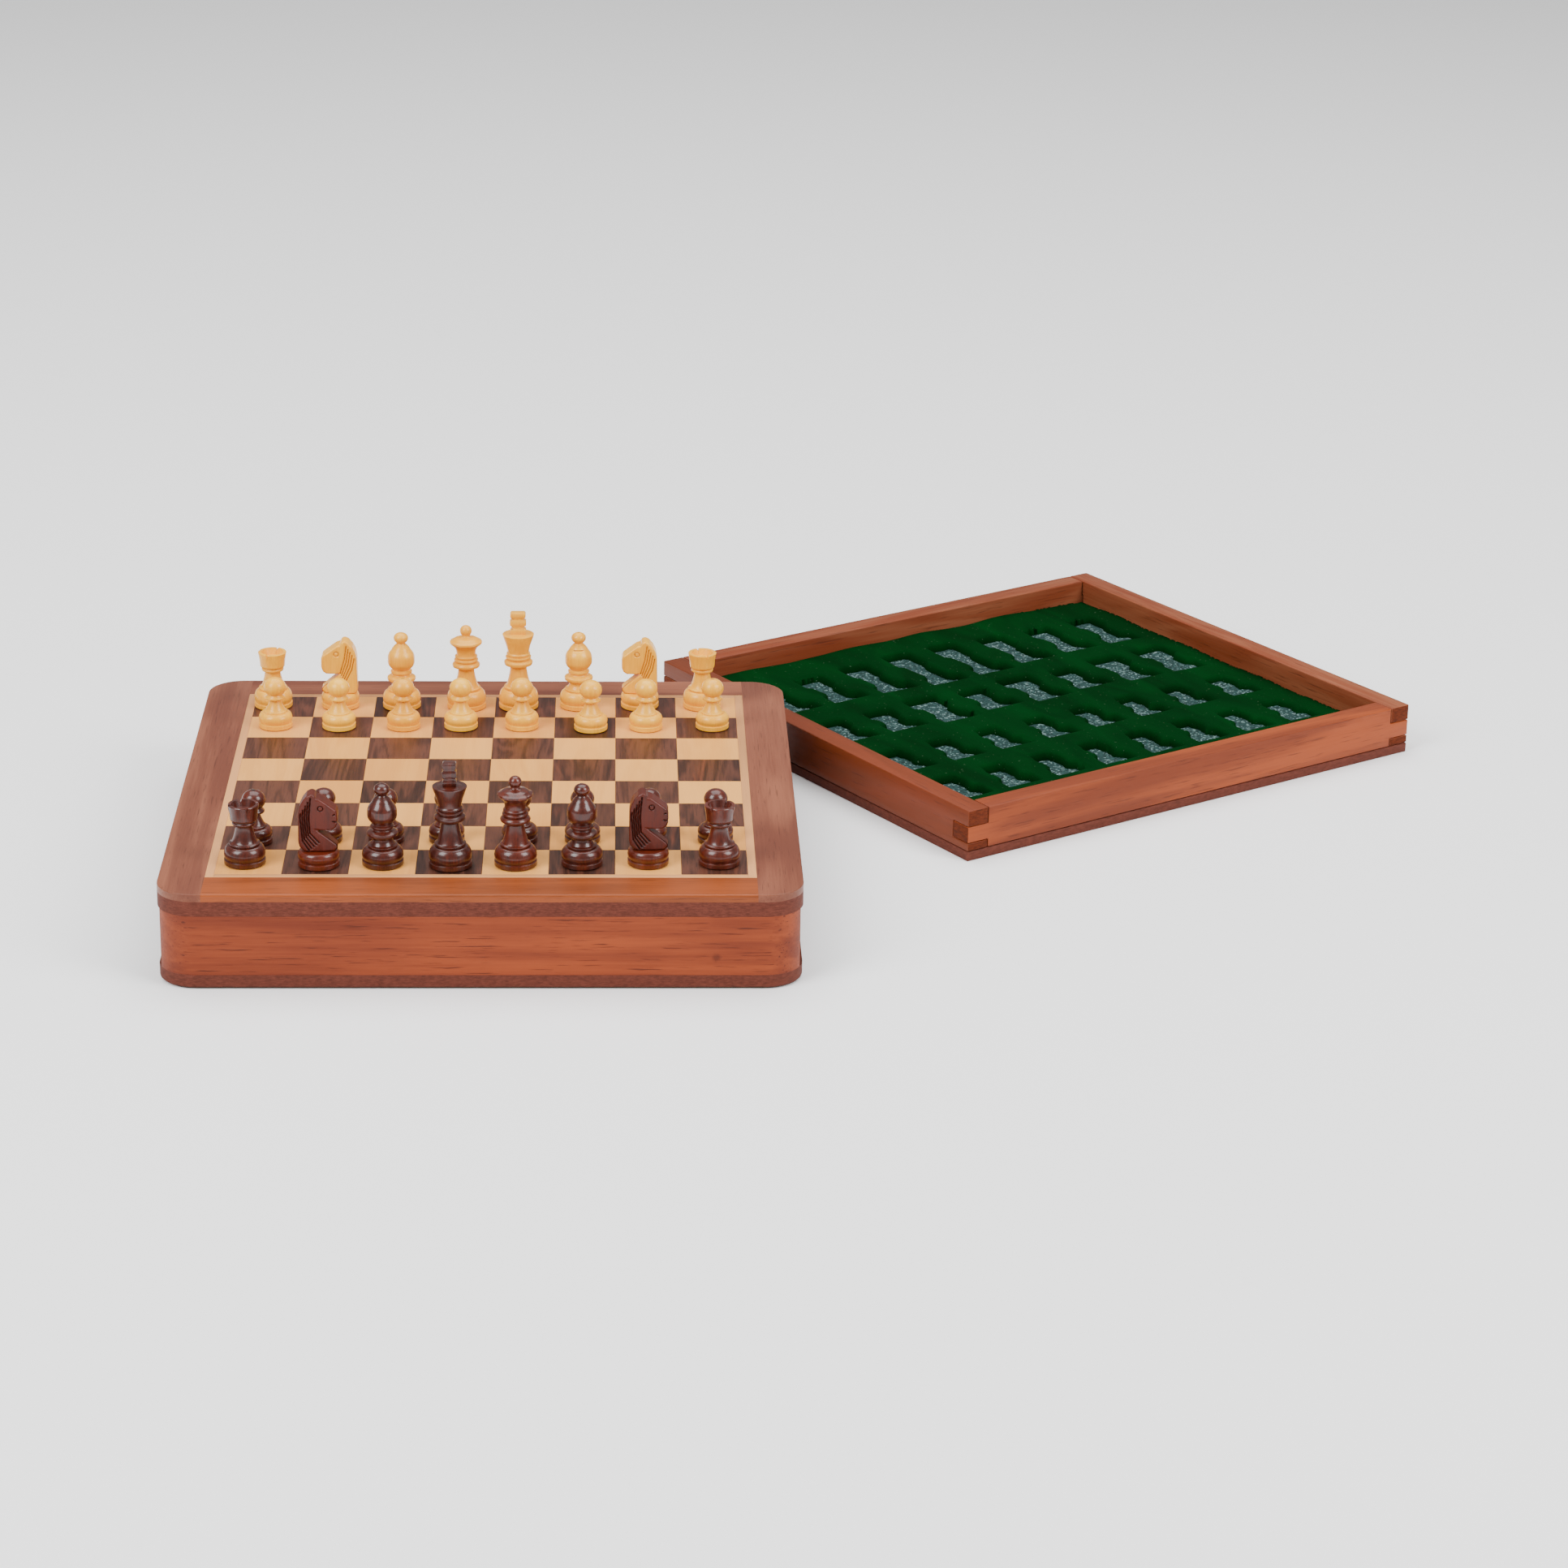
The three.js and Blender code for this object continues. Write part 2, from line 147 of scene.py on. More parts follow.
class MenSettings(PropertyGroup):
    """Sizes and colours of the men."""

    steps: IntProperty(name="Facets round a turned man", default=64, min=12)
    bead_steps: IntProperty(name="Points over one turned bead", default=5, min=2)
    dark: colour("Pale tone of the dark men", (0.115, 0.0150, 0.0042))
    dark_deep: colour("Deep tone of the dark men", (0.034, 0.0046, 0.0020))
    dark_carved: colour("Tone of the dark knights' heads", (0.088, 0.0090, 0.0022))
    light: colour("Pale tone of the light men", (0.960, 0.500, 0.030))
    light_deep: colour("Deep tone of the light men", (0.820, 0.355, 0.014))
    felt: colour("Tone of the felt under a man", (0.012, 0.060, 0.025))


class StageSettings(PropertyGroup):
    """The camera, the floor and the lamps."""

    place: FloatVectorProperty(name="Where the camera stands", default=(0.0532, -1.6472, 0.6572),
                               subtype="TRANSLATION", unit="LENGTH")
    turn: FloatVectorProperty(name="How the camera is turned", default=(1.2119, -0.0156, -0.0367),
                              subtype="EULER", unit="ROTATION")
    lens: FloatProperty(name="Focal length in millimetres", default=96.35, min=1)
    floor: colour("Tone of the floor", (0.93, 0.93, 0.93))


# --- shading

class Wire:
    """A shader value that Python's operators build on."""

    def __init__(self, shade, socket):
        self.shade = shade
        self.socket = socket

    def calc(self, operation, *values):
        return self.shade.node("ShaderNodeMath", {"operation": operation}, dict(enumerate(values)))

    def __add__(self, other):
        return self.calc("ADD", self, other)

    def __sub__(self, other):
        return self.calc("SUBTRACT", self, other)

    def __rsub__(self, other):
        return self.calc("SUBTRACT", other, self)

    def __mul__(self, other):
        return self.calc("MULTIPLY", self, other)

    def sine(self):
        return self.calc("SINE", self)

    def above(self, low, high):
        """0 below low, 1 above high, and smooth between."""
        return self.shade.node("ShaderNodeMapRange", {"interpolation_type": "SMOOTHSTEP"},
                               {"Value": self, "From Min": low, "From Max": high})


class Shade:
    """One material's node tree."""

    def __init__(self, name):
        self.material = bpy.data.materials.new(name)
        self.material.use_nodes = True
        self.tree = self.material.node_tree
        self.surface = self.tree.nodes["Principled BSDF"]

    def node(self, kind, settings=None, inputs=None, output=0):
        """Adds a node: its settings first, then its sockets' values or links."""
        made = self.tree.nodes.new(kind)
        for name, value in (settings or {}).items():
            setattr(made, name, value)
        for name, value in (inputs or {}).items():
            self.feed(made.inputs[name], value)
        return Wire(self, made.outputs[output])

    def feed(self, socket, value):
        if isinstance(value, Wire):
            self.tree.links.new(value.socket, socket)
        elif socket.type == "RGBA" and len(value) == 3:
            socket.default_value = (*value, 1)
        else:
            socket.default_value = value

    def place(self, turn=0.0, stretch=(1, 1, 1), shift=(0, 0, 0)):
        """Object coordinates, turned about Z and stretched, so that a pattern runs along a piece."""
        wire = self.node("ShaderNodeTexCoord", output="Object")
        if turn:
            wire = self.node("ShaderNodeMapping", {}, {"Vector": wire, "Rotation": (0, 0, -turn)})
        wire = self.vector("MULTIPLY", wire, stretch)
        return self.vector("ADD", wire, shift) if any(shift) else wire

    def vector(self, operation, first, second):
        return self.node("ShaderNodeVectorMath", {"operation": operation}, {0: first, 1: second})

    def largest(self, first, second):
        return first.calc("MAXIMUM", first, second)

    def noise(self, where, scale, detail=2.0, roughness=0.5, distortion=0.0):
        """Noise at a place, or at the piece's own place stretched by three numbers."""
        if isinstance(where, tuple):
            where = self.place(0.0, where)
        return self.node("ShaderNodeTexNoise", {}, {
            "Vector": where, "Scale": scale, "Detail": detail, "Roughness": roughness,
            "Distortion": distortion})

    def attribute(self, name):
        return self.node("ShaderNodeAttribute", {"attribute_name": name}, output="Fac")

    def mix(self, factor, first, second):
        return self.node("ShaderNodeMix", {"data_type": "RGBA", "blend_type": "MIX"},
                         {0: factor, 6: first, 7: second}, output=2)

    def bump(self, height, strength, distance):
        return self.node("ShaderNodeBump", {}, {
            "Height": height, "Strength": strength, "Distance": distance})

    def finish(self, tone, roughness, normal=None, **constants):
        """Feeds the surface. Constants are set on their own sockets, with _ for a space."""
        self.feed(self.surface.inputs["Base Color"], tone)
        self.feed(self.surface.inputs["Roughness"], roughness)
        if normal:
            self.feed(self.surface.inputs["Normal"], normal)
        for name, value in constants.items():
            self.feed(self.surface.inputs[name.replace("_", " ")], value)
        return self.material


def stretched(along, lengthwise):
    """How a pattern is drawn out along a grain that runs along X, Y or Z."""
    return tuple(lengthwise if axis == along else 1 for axis in "XYZ")


def scaled(tone, share):
    """A deeper or a paler tone of the same colour."""
    return tuple(share * part for part in tone)


# A knot's size in a sawn board, and how ragged its edge is
KNOT_CORE, KNOT_RIM, KNOT_RAGGED = 1.6 * MM, 3.6 * MM, 2.2 * MM


def wood(name, pale, deep, along="X", turn=0.0, figure=1.0, pores=0.6, gloss=0.35, coat=0.0,
         shift=(0, 0, 0), knot=None):
    """Sawn and lacquered wood: broad figure, fine fibre, dark pores, all stretched along the grain."""
    shade = Shade(name)

    def grain(lengthwise, *pattern):
        return shade.noise(shade.place(turn, stretched(along, lengthwise), shift), *pattern)

    drift = grain(0.10, 34, 3, 0.55, 0.8 * figure)
    bands = (drift * (34 * figure) + 1.3).sine() * 0.5 + 0.5
    fibres = grain(0.03, 900, 4, 0.65)
    patches = grain(0.35, 22, 2, 0.5)
    depth = bands * 0.34 + fibres * 0.52 + patches.above(0.35, 0.7) * 0.42
    tone = shade.mix(depth.above(0.18, 1.02), pale, deep)
    pits = grain(0.045, 1530, 2, 0.5).above(0.60, 0.72) * pores
    dark = scaled(deep, 0.35)
    tone = shade.mix(pits, tone, dark)
    if knot:
        gap = shade.node("ShaderNodeVectorMath", {"operation": "DISTANCE"}, {0: shade.place(), 1: knot}, 1)
        ragged = gap + shade.noise(shade.place(), 700, 3, 0.6) * KNOT_RAGGED
        tone = shade.mix((1 - ragged.above(KNOT_CORE, KNOT_RIM)) * 0.6, tone, dark)
    rough = fibres * 0.16 + (gloss - 0.08)
    height = fibres * 0.4 - pits
    return shade.finish(tone, rough, shade.bump(height, 0.35, 0.00012), Coat_Weight=coat,
                        Coat_Roughness=0.22, Specular_IOR_Level=0.22)


def end_grain(name, pale, deep, turn=0.0):
    """The sawn end of a board: short arcs and open pores, darker than its side."""
    shade = Shade(name)
    where = shade.place(turn)
    pores = shade.node("ShaderNodeTexVoronoi", {}, {"Vector": where, "Scale": 1900})
    dots = 1 - pores.above(0.12, 0.32)
    arcs = shade.noise(shade.place(turn, (1, 1, 3)), 420, 3, 0.6, 0.6)
    tone = shade.mix(arcs.above(0.3, 0.7), deep, pale)
    tone = shade.mix(dots * 0.55, tone, scaled(deep, 0.25))
    return shade.finish(tone, arcs * 0.15 + 0.6, shade.bump(dots * -1, 0.4, 0.0001), Specular_IOR_Level=0.1)


def stained_board(name, tone, turn=0.0):
    """Stained fibreboard: soft clumps, short fibres and pale dust where the edge has been sanded."""
    shade = Shade(name)
    where = shade.place(turn, (1, 1, 1.6))
    clumps = shade.noise(where, 420, 4, 0.65)
    fibres = shade.noise(shade.place(turn, (0.16, 0.16, 1)), 2600, 3, 0.7)
    pale = tuple(min(1, 1.45 * part + 0.006) for part in tone)
    mixed = shade.mix((clumps * 0.45 + fibres * 0.65).above(0.34, 0.80), scaled(tone, 0.72), pale)
    return shade.finish(mixed, fibres * 0.2 + 0.55, shade.bump(fibres, 0.35, 0.0001),
                        Specular_IOR_Level=0.18)


def veneer(name, pale, deep, rosewood):
    """Polished veneer, cut from a different stretch of the flitch for every square."""
    shade = Shade(name)
    cut = shade.attribute("cut")
    offset = shade.node("ShaderNodeCombineXYZ", {}, {"X": cut * 3.7, "Y": cut * 1.9, "Z": cut * 5.3})

    def where(across, lengthwise):
        return shade.vector("ADD", shade.place(0.0, (across, lengthwise, 1)), offset)

    drift = shade.noise(where(1, 0.12), 42, 3, 0.6, 1.2)
    bands = (drift * (46 if rosewood else 26) + cut * 9).sine() * 0.5 + 0.5
    fibres = shade.noise(where(1, 0.03), 1300, 4, 0.7)
    board = (cut * 57).sine() * 0.5 + 0.5
    if rosewood:
        depth = bands * 0.30 + fibres * 0.62 + board * 0.22
        tone = shade.mix(depth.above(0.25, 0.92), pale, deep)
        red = shade.noise(where(1, 0.08), 120, 3, 0.6, 0.5).above(0.56, 0.74) * board
        tone = shade.mix(red * 0.55, tone, (0.250, 0.058, 0.022))
        pits = shade.noise(where(1, 0.05), 2100, 2, 0.5).above(0.58, 0.70)
        tone = shade.mix(pits * 0.65, tone, (0.020, 0.009, 0.006))
    else:
        depth = bands * 0.22 + fibres * 0.35 + board * 0.40
        tone = shade.mix(depth.above(0.1, 1.0), pale, deep)
        pits = shade.noise(where(1, 0.06), 2100, 2, 0.5).above(0.64, 0.74)
        tone = shade.mix(pits * 0.20, tone, deep)
    return shade.finish(tone, fibres * 0.12 + 0.36, shade.bump(fibres * 0.4 - pits, 0.12, 0.00006),
                        Coat_Weight=0.08, Coat_Roughness=0.25, Specular_IOR_Level=0.22)


def turned_wood(name, pale, deep, gloss, coat, pores):
    """Turned and lacquered wood: grain up the axis, fine tool rings and drifting tone."""
    shade = Shade(name)
    drift = shade.noise((1, 1, 0.22), 210, 3, 0.6, 0.8)
    fibres = shade.noise((1, 1, 0.06), 1500, 4, 0.65)
    deeper = shade.attribute("tint")
    depth = drift * 0.55 + fibres * 0.5 - deeper * 0.16
    tone = shade.mix(depth.above(0.34, 0.78), deep, pale)
    pits = shade.noise((1, 1, 0.07), 2600, 2, 0.5).above(0.60, 0.70)
    # Darkest where the tint is high: a real dark pip, and painted shade in a knight's carved cuts
    pips_and_cut_shade = deeper.above(1.0, 3.0) * 0.75
    tone = shade.mix(shade.largest(pits * pores, pips_and_cut_shade), tone, scaled(deep, 0.4))
    rings = shade.noise((0.02, 0.02, 1), 3800, 2, 0.5)
    height = rings * 0.5 + fibres * 0.3
    return shade.finish(tone, fibres * 0.12 + gloss, shade.bump(height, 0.12, 0.00008),
                        Coat_Weight=coat, Coat_Roughness=0.16, Specular_IOR_Level=0.3)


def velvet_cloth(name, tone):
    """Cut pile, with painted sheen: it is lighter and darker in patches where its nap has been swept one way
    or the other.
    """
    shade = Shade(name)
    # Painted sheen: these patches are made lighter and darker in colour, as the pile would catch the light
    brushed_sheen = shade.noise(shade.place(0.6, (1, 0.35, 1)), 46, 3, 0.55, 0.7)
    pile = shade.noise(shade.place(), 2600, 2, 0.7)
    lint = shade.noise(shade.place(), 900, 1, 0.4).above(0.745, 0.78)
    mixed = shade.mix((brushed_sheen * 0.8 + pile * 0.3).above(0.3, 0.85), scaled(tone, 0.6), scaled(tone, 1.35))
    mixed = shade.mix(lint * 0.25, mixed, (0.12, 0.20, 0.13))
    return shade.finish(mixed, pile * 0.1 + 0.85, shade.bump(pile, 0.5, 0.0002),
                        Sheen_Weight=0.02, Sheen_Roughness=0.5, Sheen_Tint=(0.02, 0.30, 0.06, 1),
                        Specular_IOR_Level=0.02)


def felt_cloth(name, tone):
    """Pressed felt with short tangled fibres."""
    shade = Shade(name)
    fuzz = shade.noise(shade.place(), 2200, 4, 0.7, 1.0)
    mixed = shade.mix(fuzz.above(0.3, 0.7), scaled(tone, 0.6), scaled(tone, 1.7))
    return shade.finish(mixed, fuzz * 0.1 + 0.88, shade.bump(fuzz, 0.6, 0.0002), Specular_IOR_Level=0.2)


def sparkling_foam(name, tone):
    """Grey-blue foam sheet with pale glittering specks."""
    shade = Shade(name)
    cells = shade.node("ShaderNodeTexVoronoi", {}, {"Vector": shade.place(), "Scale": 1250}, output="Color")
    pick = shade.node("ShaderNodeSeparateColor", {}, {"Color": cells})
    grit = shade.noise(shade.place(), 700, 3, 0.7)
    mixed = shade.mix(grit.above(0.32, 0.68), scaled(tone, 0.5), scaled(tone, 1.7))
    mixed = shade.mix(pick.above(0.80, 0.92) * 0.7, mixed, (0.16, 0.24, 0.23))
    return shade.finish(mixed, 0.85 - pick * 0.3, shade.bump(grit, 0.6, 0.0004), Specular_IOR_Level=0.12)


def steel_sheet(name):
    """Plain rolled steel with faint rolling lines."""
    shade = Shade(name)
    lines = shade.noise((0.02, 1, 1), 1800, 3, 0.6)
    tone = shade.mix(lines, (0.40, 0.41, 0.43), (0.60, 0.61, 0.63))
    return shade.finish(tone, lines * 0.2 + 0.3, shade.bump(lines, 0.2, 0.00005), Metallic=1.0)


# --- modelling

def add_object(name, data):
    """A new object in the scene."""
    made = bpy.data.objects.new(name, data)
    bpy.context.collection.objects.link(made)
    return made


def piece(name, bm, body, materials, sharp=32, replaces=(), index=None):
    """Makes one finished piece from a bmesh, riding on a body."""
    mesh = bpy.data.meshes.new(name)
    bm.to_mesh(mesh)
    bm.free()
    for material in materials:
        mesh.materials.append(material)
    mesh.polygons.foreach_set("use_smooth", [True] * len(mesh.polygons))
    mesh.set_sharp_from_angle(angle=math.radians(sharp))
    if index:
        for polygon in mesh.polygons:
            polygon.material_index = index(polygon)
    made = add_object(name, mesh)
    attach(made, body)
    if replaces:
        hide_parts(*replaces)
    return made


def merged_copy(node):
    """A copy of a frame node's mesh with its corners merged and its flat faces whole."""
    bm = bmesh.new()
    bm.from_mesh(frame["nodes"][node].data)
    bmesh.ops.remove_doubles(bm, verts=bm.verts, dist=MERGED)
    bmesh.ops.dissolve_limit(bm, angle_limit=math.radians(1), verts=bm.verts, edges=bm.edges)
    return bm


def soften(bm, width, segments=3, least=25, chosen=None):
    """Rounds the edges that turn by more than the least angle."""
    edges = [edge for edge in bm.edges
             if len(edge.link_faces) == 2 and edge.calc_face_angle() > math.radians(least)
             and (chosen is None or chosen(edge))]
    bmesh.ops.bevel(bm, geom=edges, offset=width, offset_type="OFFSET", affect="EDGES", segments=segments,
                    profile=0.5, material=-1, clamp_overlap=True)


def faces_along(axis, sine=0.8):
    """Picks material 1 for faces that look along an axis, as a board's sawn ends do."""
    return lambda polygon: int(abs(polygon.normal.dot(axis)) > sine)


def block(low, high):
    """A box between two corners."""
    bm = bmesh.new()
    bmesh.ops.create_cube(bm, size=1)
    bmesh.ops.scale(bm, vec=high - low, verts=bm.verts)
    bmesh.ops.translate(bm, vec=(low + high) / 2, verts=bm.verts)
    return bm


# --- turned shapes

def bow(start, end, swell, steps):
    """Points from start to end on an arc that swells out, or in where swell is negative."""
    points = []
    for step in range(1, steps + 1):
        t = step / steps
        points.append((start[0] + (end[0] - start[0]) * t + swell * math.sin(math.pi * t),
                       start[1] + (end[1] - start[1]) * t))
    return points


def ball(radius, middle, half_height, start_height, steps):
    """Points over a ball from a height on its lower half to its top, on the axis."""
    first = math.asin(max(-1, (start_height - middle) / half_height))
    angles = [first + (math.pi / 2 - first) * step / steps for step in range(steps + 1)]
    return [(radius * math.cos(angle), middle + half_height * math.sin(angle)) for angle in angles]


def dome(radius, middle, shoulder, top, steps):
    """Points over a shouldered dome: from its widest, at the middle, round in to the shoulder at its top."""
    angles = [math.pi / 2 * step / steps for step in range(steps + 1)]
    return [(shoulder + (radius - shoulder) * math.cos(angle), middle + (top - middle) * math.sin(angle))
            for angle in angles]


def profile(shape, bead_steps):
    """A turned outline in mm: (radius, height) corners, (radius, height, swell) bows, balls and domes."""
    points = [(0, 0)]
    for item in shape:
        if item[0] == "ball":
            points += ball(*item[1:], steps=4 * bead_steps)
        elif item[0] == "dome":
            points += dome(*item[1:], steps=2 * bead_steps)
        elif len(item) == 3:
            points += bow(points[-1], item[:2], item[2], bead_steps)
        else:
            points.append(item)
    return points


def spun(points, steps):
    """Spins an outline about Z into a closed solid, in metres."""
    bm = bmesh.new()
    verts = [bm.verts.new((radius * MM, 0, height * MM)) for radius, height in points]
    edges = [bm.edges.new(pair) for pair in zip(verts, verts[1:])]
    bmesh.ops.spin(bm, geom=[*verts, *edges], cent=(0, 0, 0), axis=UP, dvec=(0, 0, 0),
                   angle=2 * math.pi, steps=steps, use_merge=True)
    bmesh.ops.remove_doubles(bm, verts=bm.verts, dist=MERGED)
    bmesh.ops.recalc_face_normals(bm, faces=bm.faces)
    return bm


def foot(radius, shoulder, top, widest=4.3):
    """The foot that every man stands on: a disc, a cut groove and a dome that rounds in to a shoulder."""
    return [(radius - 0.35, 0.15), (radius, 0.5), (radius, 2.1), (radius - 0.5, 2.4), (radius - 0.5, 2.75),
            (radius - 0.15, 3.2), ("dome", radius, widest, shoulder, top)]


PAWN = [*foot(7.2, 5.0, 6.9), (5.0, 7.0), (4.9, 7.4), (4.5, 7.6), (2.45, 12.1, -0.2), (3.3, 12.6),
        (4.2, 13.0), (4.2, 13.8, 0.1), (3.4, 14.3), ("ball", 4.8, 18.0, 4.3, 14.8)]
ROOK = [*foot(8.25, 5.9, 8.0), (6.1, 8.3), (6.1, 8.9, 0.1), (5.3, 9.2), (4.9, 9.8), (3.4, 15.9, -0.2),
        (3.5, 16.2), (4.65, 16.7), (4.7, 17.6, 0.1), (4.3, 17.9), (4.3, 18.1), (5.1, 18.4), (5.4, 19.3, 0.1),
        (5.6, 21.6), (6.15, 24.8), (6.0, 25.0), (4.8, 25.0), (3.9, 22.4), (0, 21.6)]
KNIGHT_FOOT = [*foot(8.25, 6.9, 6.75, 4.4), (0, 6.8)]
BISHOP = [*foot(8.25, 5.7, 7.7), (5.9, 7.9), (5.9, 8.6, 0.1), (5.0, 8.9), (4.7, 9.4), (4.0, 11.3, -0.15),
          (4.3, 11.9), (6.0, 12.6), (6.1, 13.9, 0.15), (5.2, 14.5), (4.2, 14.8), (4.0, 15.3), (4.5, 15.8),
          (4.6, 16.7, 0.1), (4.0, 17.1), (3.9, 17.5), (5.85, 21.9, 0.75), (4.15, 26.4, 0.6), (4.0, 26.7),
          (3.85, 27.0), (2.1, 28.9, 0.15), (1.9, 29.2), ("ball", 3.2, 31.6, 2.5, 29.8)]
QUEEN = [*foot(8.5, 5.9, 8.3), (6.1, 8.6), (6.1, 9.3, 0.1), (5.4, 9.6), (5.0, 10.4), (3.45, 17.3, -0.2),
         (3.9, 18.0), (5.8, 18.8), (6.0, 19.9, 0.1), (5.3, 20.7), (4.7, 20.9), (5.1, 21.3), (5.1, 22.3, 0.15),
         (4.5, 22.6), (4.8, 23.0), (4.8, 23.8, 0.1), (4.2, 24.2), (4.4, 26.4, -0.1), (6.8, 29.3, -0.4),
         (7.05, 29.7), (6.95, 30.4), (5.8, 30.9), (2.2, 32.4, 0.7), (1.9, 32.8),
         ("ball", 2.6, 35.0, 2.5, 33.3)]
KING = [*foot(8.6, 6.0, 8.8), (6.2, 9.1), (6.2, 9.9, 0.1), (5.5, 10.2), (5.1, 11.0), (3.55, 18.4, -0.2),
        (4.0, 19.0), (6.0, 19.9), (6.2, 21.2, 0.1), (5.4, 22.0), (4.9, 22.2), (5.4, 22.7), (5.5, 23.6, 0.15),
        (4.8, 23.9), (5.1, 24.3), (5.1, 25.1, 0.1), (4.7, 25.5), (4.8, 26.6), (5.4, 29.0), (6.8, 33.1),
        (6.85, 33.6), (6.4, 33.8), (5.2, 33.5), (3.2, 34.0, 0.2), (0, 34.2)]


def notch_rim(bm, inner, low, count, depth, drop, share, phase=0.0):
    """Cuts notches into a rim: where points lie out past inner and over low, they go in and drop."""
    for vert in bm.verts:
        radius = math.hypot(vert.co.x, vert.co.y)
        if radius < inner * MM or vert.co.z < low * MM:
            continue
        turn = (math.atan2(vert.co.y, vert.co.x) / (2 * math.pi) * count + phase) % 1
        if turn < share:
            scale = 1 - depth * MM / radius
            vert.co = Vector((vert.co.x * scale, vert.co.y * scale, vert.co.z - drop * MM))


# Heights of the bishops' cut and of its deepest part, in mm, and how squarely a point must face its side
CUT_LOW, CUT_HIGH = 26.3, 27.1
CUT_CORE_LOW, CUT_CORE_HIGH = 26.6, 26.8
CUT_FACING = 0.85


def mitre_cut(bm, facing):
    """The bishop's short level cut, high on one side: facing is -1 for the near side and 1 for the far."""
    for vert in bm.verts:
        x, y, z = vert.co
        if CUT_LOW * MM < z < CUT_HIGH * MM and y * facing > CUT_FACING * math.hypot(x, y):
            scale = 0.8 if CUT_CORE_LOW * MM < z < CUT_CORE_HIGH * MM else 0.98
            vert.co = Vector((x * scale, y * scale, z))


# The king's finial, in mm, and where its two pinches are, in fifths of its height
FINIAL_LOW, FINIAL_HIGH, FINIAL_HALF_DEPTH = 33.9, 43.5, 2.3
FINIAL_FIFTH = (FINIAL_HIGH - FINIAL_LOW) / 5
PINCHES, PINCH_REACH = (1.55, 3.55), 0.22


def flat_finial(half_width, pinch, lean):
    """The outline of the king's finial: a flat block with its sides pinched in twice."""
    right = [(half_width - 0.3, 0), (half_width, 1.0), (half_width - pinch, 1.5), (half_width - pinch, 1.7),
             (half_width, 2.2), (half_width, 3.0), (half_width - pinch, 3.45), (half_width - pinch, 3.65),
             (half_width - 0.2, 4.1), (half_width - 0.2, 4.75), (half_width - 0.8, 5)]
    left = [(-x - lean * (k > 2.5), k - lean * (k < 2)) for x, k in reversed(right)]
    return [(x, FINIAL_LOW + k * FINIAL_FIFTH) for x, k in right + left]


def pinch_faces(bm, outline, depth):
    """Cuts the finial's two pinches across its faces too, so that they run all the way round."""
    for height in sorted({z for _, z in outline}):
        geom = [*bm.verts, *bm.edges, *bm.faces]
        bmesh.ops.bisect_plane(bm, geom=geom, dist=1e-6, plane_co=(0, 0, height * MM), plane_no=UP)
    for vert in bm.verts:
        rise = (vert.co.z / MM - FINIAL_LOW) / FINIAL_FIFTH
        if min(abs(rise - pinch) for pinch in PINCHES) < PINCH_REACH:
            vert.co.y *= 1 - depth


def slab(outline, half_depth, rounding, segments):
    """A flat outline in XZ, in millimetres, given depth along Y with rounded edges."""
    bm = bmesh.new()
    verts = [bm.verts.new((x * MM, -half_depth * MM, z * MM)) for x, z in outline]
    face = bm.faces.new(verts)
    pushed = bmesh.ops.extrude_face_region(bm, geom=[face])
    moved = [item for item in pushed["geom"] if isinstance(item, bmesh.types.BMVert)]
    bmesh.ops.translate(bm, vec=(0, 2 * half_depth * MM, 0), verts=moved)
    bmesh.ops.recalc_face_normals(bm, faces=bm.faces)
    soften(bm, rounding * MM, segments, least=40)
    return bm


def join(first, second):
    """Adds a second bmesh to a first."""
    mesh = bpy.data.meshes.new("joining")
    second.to_mesh(mesh)
    second.free()
    first.from_mesh(mesh)
    bpy.data.meshes.remove(mesh)


# --- the knight's head

MOUTH = (7.7, 19.5)
HEAD_OUTLINE = [(6.2, 6.85), (7.5, 7.7), (8.0, 8.7), (7.4, 9.6), (-0.4, 16.1), (2.4, 15.7), (5.6, 15.9),
                (7.2, 17.0), (7.9, 18.8), MOUTH, (7.95, 20.2), (7.9, 23.0), (7.3, 24.3), (4.0, 26.8),
                (0.9, 29.0), (-0.1, 28.9), (-0.9, 30.4), (-2.2, 31.1), (-4.0, 30.2), (-5.7, 28.2),
                (-6.9, 25.8), (-7.5, 23.0), (-7.65, 11.0)]
HEELS = {1: [(-7.2, 9.0), (-5.8, 7.4), (-4.6, 6.85)], -1: [(-7.7, 8.2), (-7.2, 7.2), (-6.2, 6.85)]}
EYE = Vector((1.3, 25.0))
THROAT = Vector((-0.4, 16.1))
CHEST_SLOPE = Vector((0.953, 0.303))  # square to the line from the throat down to the front of the foot
CHEST_TAPER = 0.22
HEAD_HALF_DEPTH, HEAD_ROUNDING, HEAD_GRAIN = 4.0, 0.95, 0.24
CARVED_FROM = 2.8  # nearer to its middle than this, the head has no cuts
STROKE_REACH, STROKE_DEPTH = 0.40, 0.70
EYE_RADIUS, EYE_REACH, EYE_DEPTH = 1.0, 0.36, 0.55


def mane_lines(facing):
    """The head's cuts in its own plane.

    The heads that face right have a long mane that sweeps forward over the chest, a mouth and a nostril,
    and the others a short mane that meets the throat.
    """
    if facing > 0:
        lines = [[(-2.5 - 1.0 * stroke, 29.3 - 1.6 * stroke), (-3.3 - 0.85 * stroke, 21),
                  (-2.9 - 0.75 * stroke, 14.6 - 0.8 * stroke), (0.6 - 1.0 * stroke, 10.6 - 0.8 * stroke)]
                 for stroke in range(5)]
        lines += [[(7.9, 19.4), (6.1, 19.7)], [(6.9, 22.6), (6.4, 22.3)]]
    else:
        lines = [[(-3.1 - 0.85 * stroke, 28.6 - 1.4 * stroke), (-2.2 - 0.8 * stroke, 22.6 - 1.2 * stroke),
                  (-0.3 - 0.55 * stroke, 16.2 - 1.0 * stroke)] for stroke in range(5)]
    return [[Vector(point) for point in line] for line in lines]


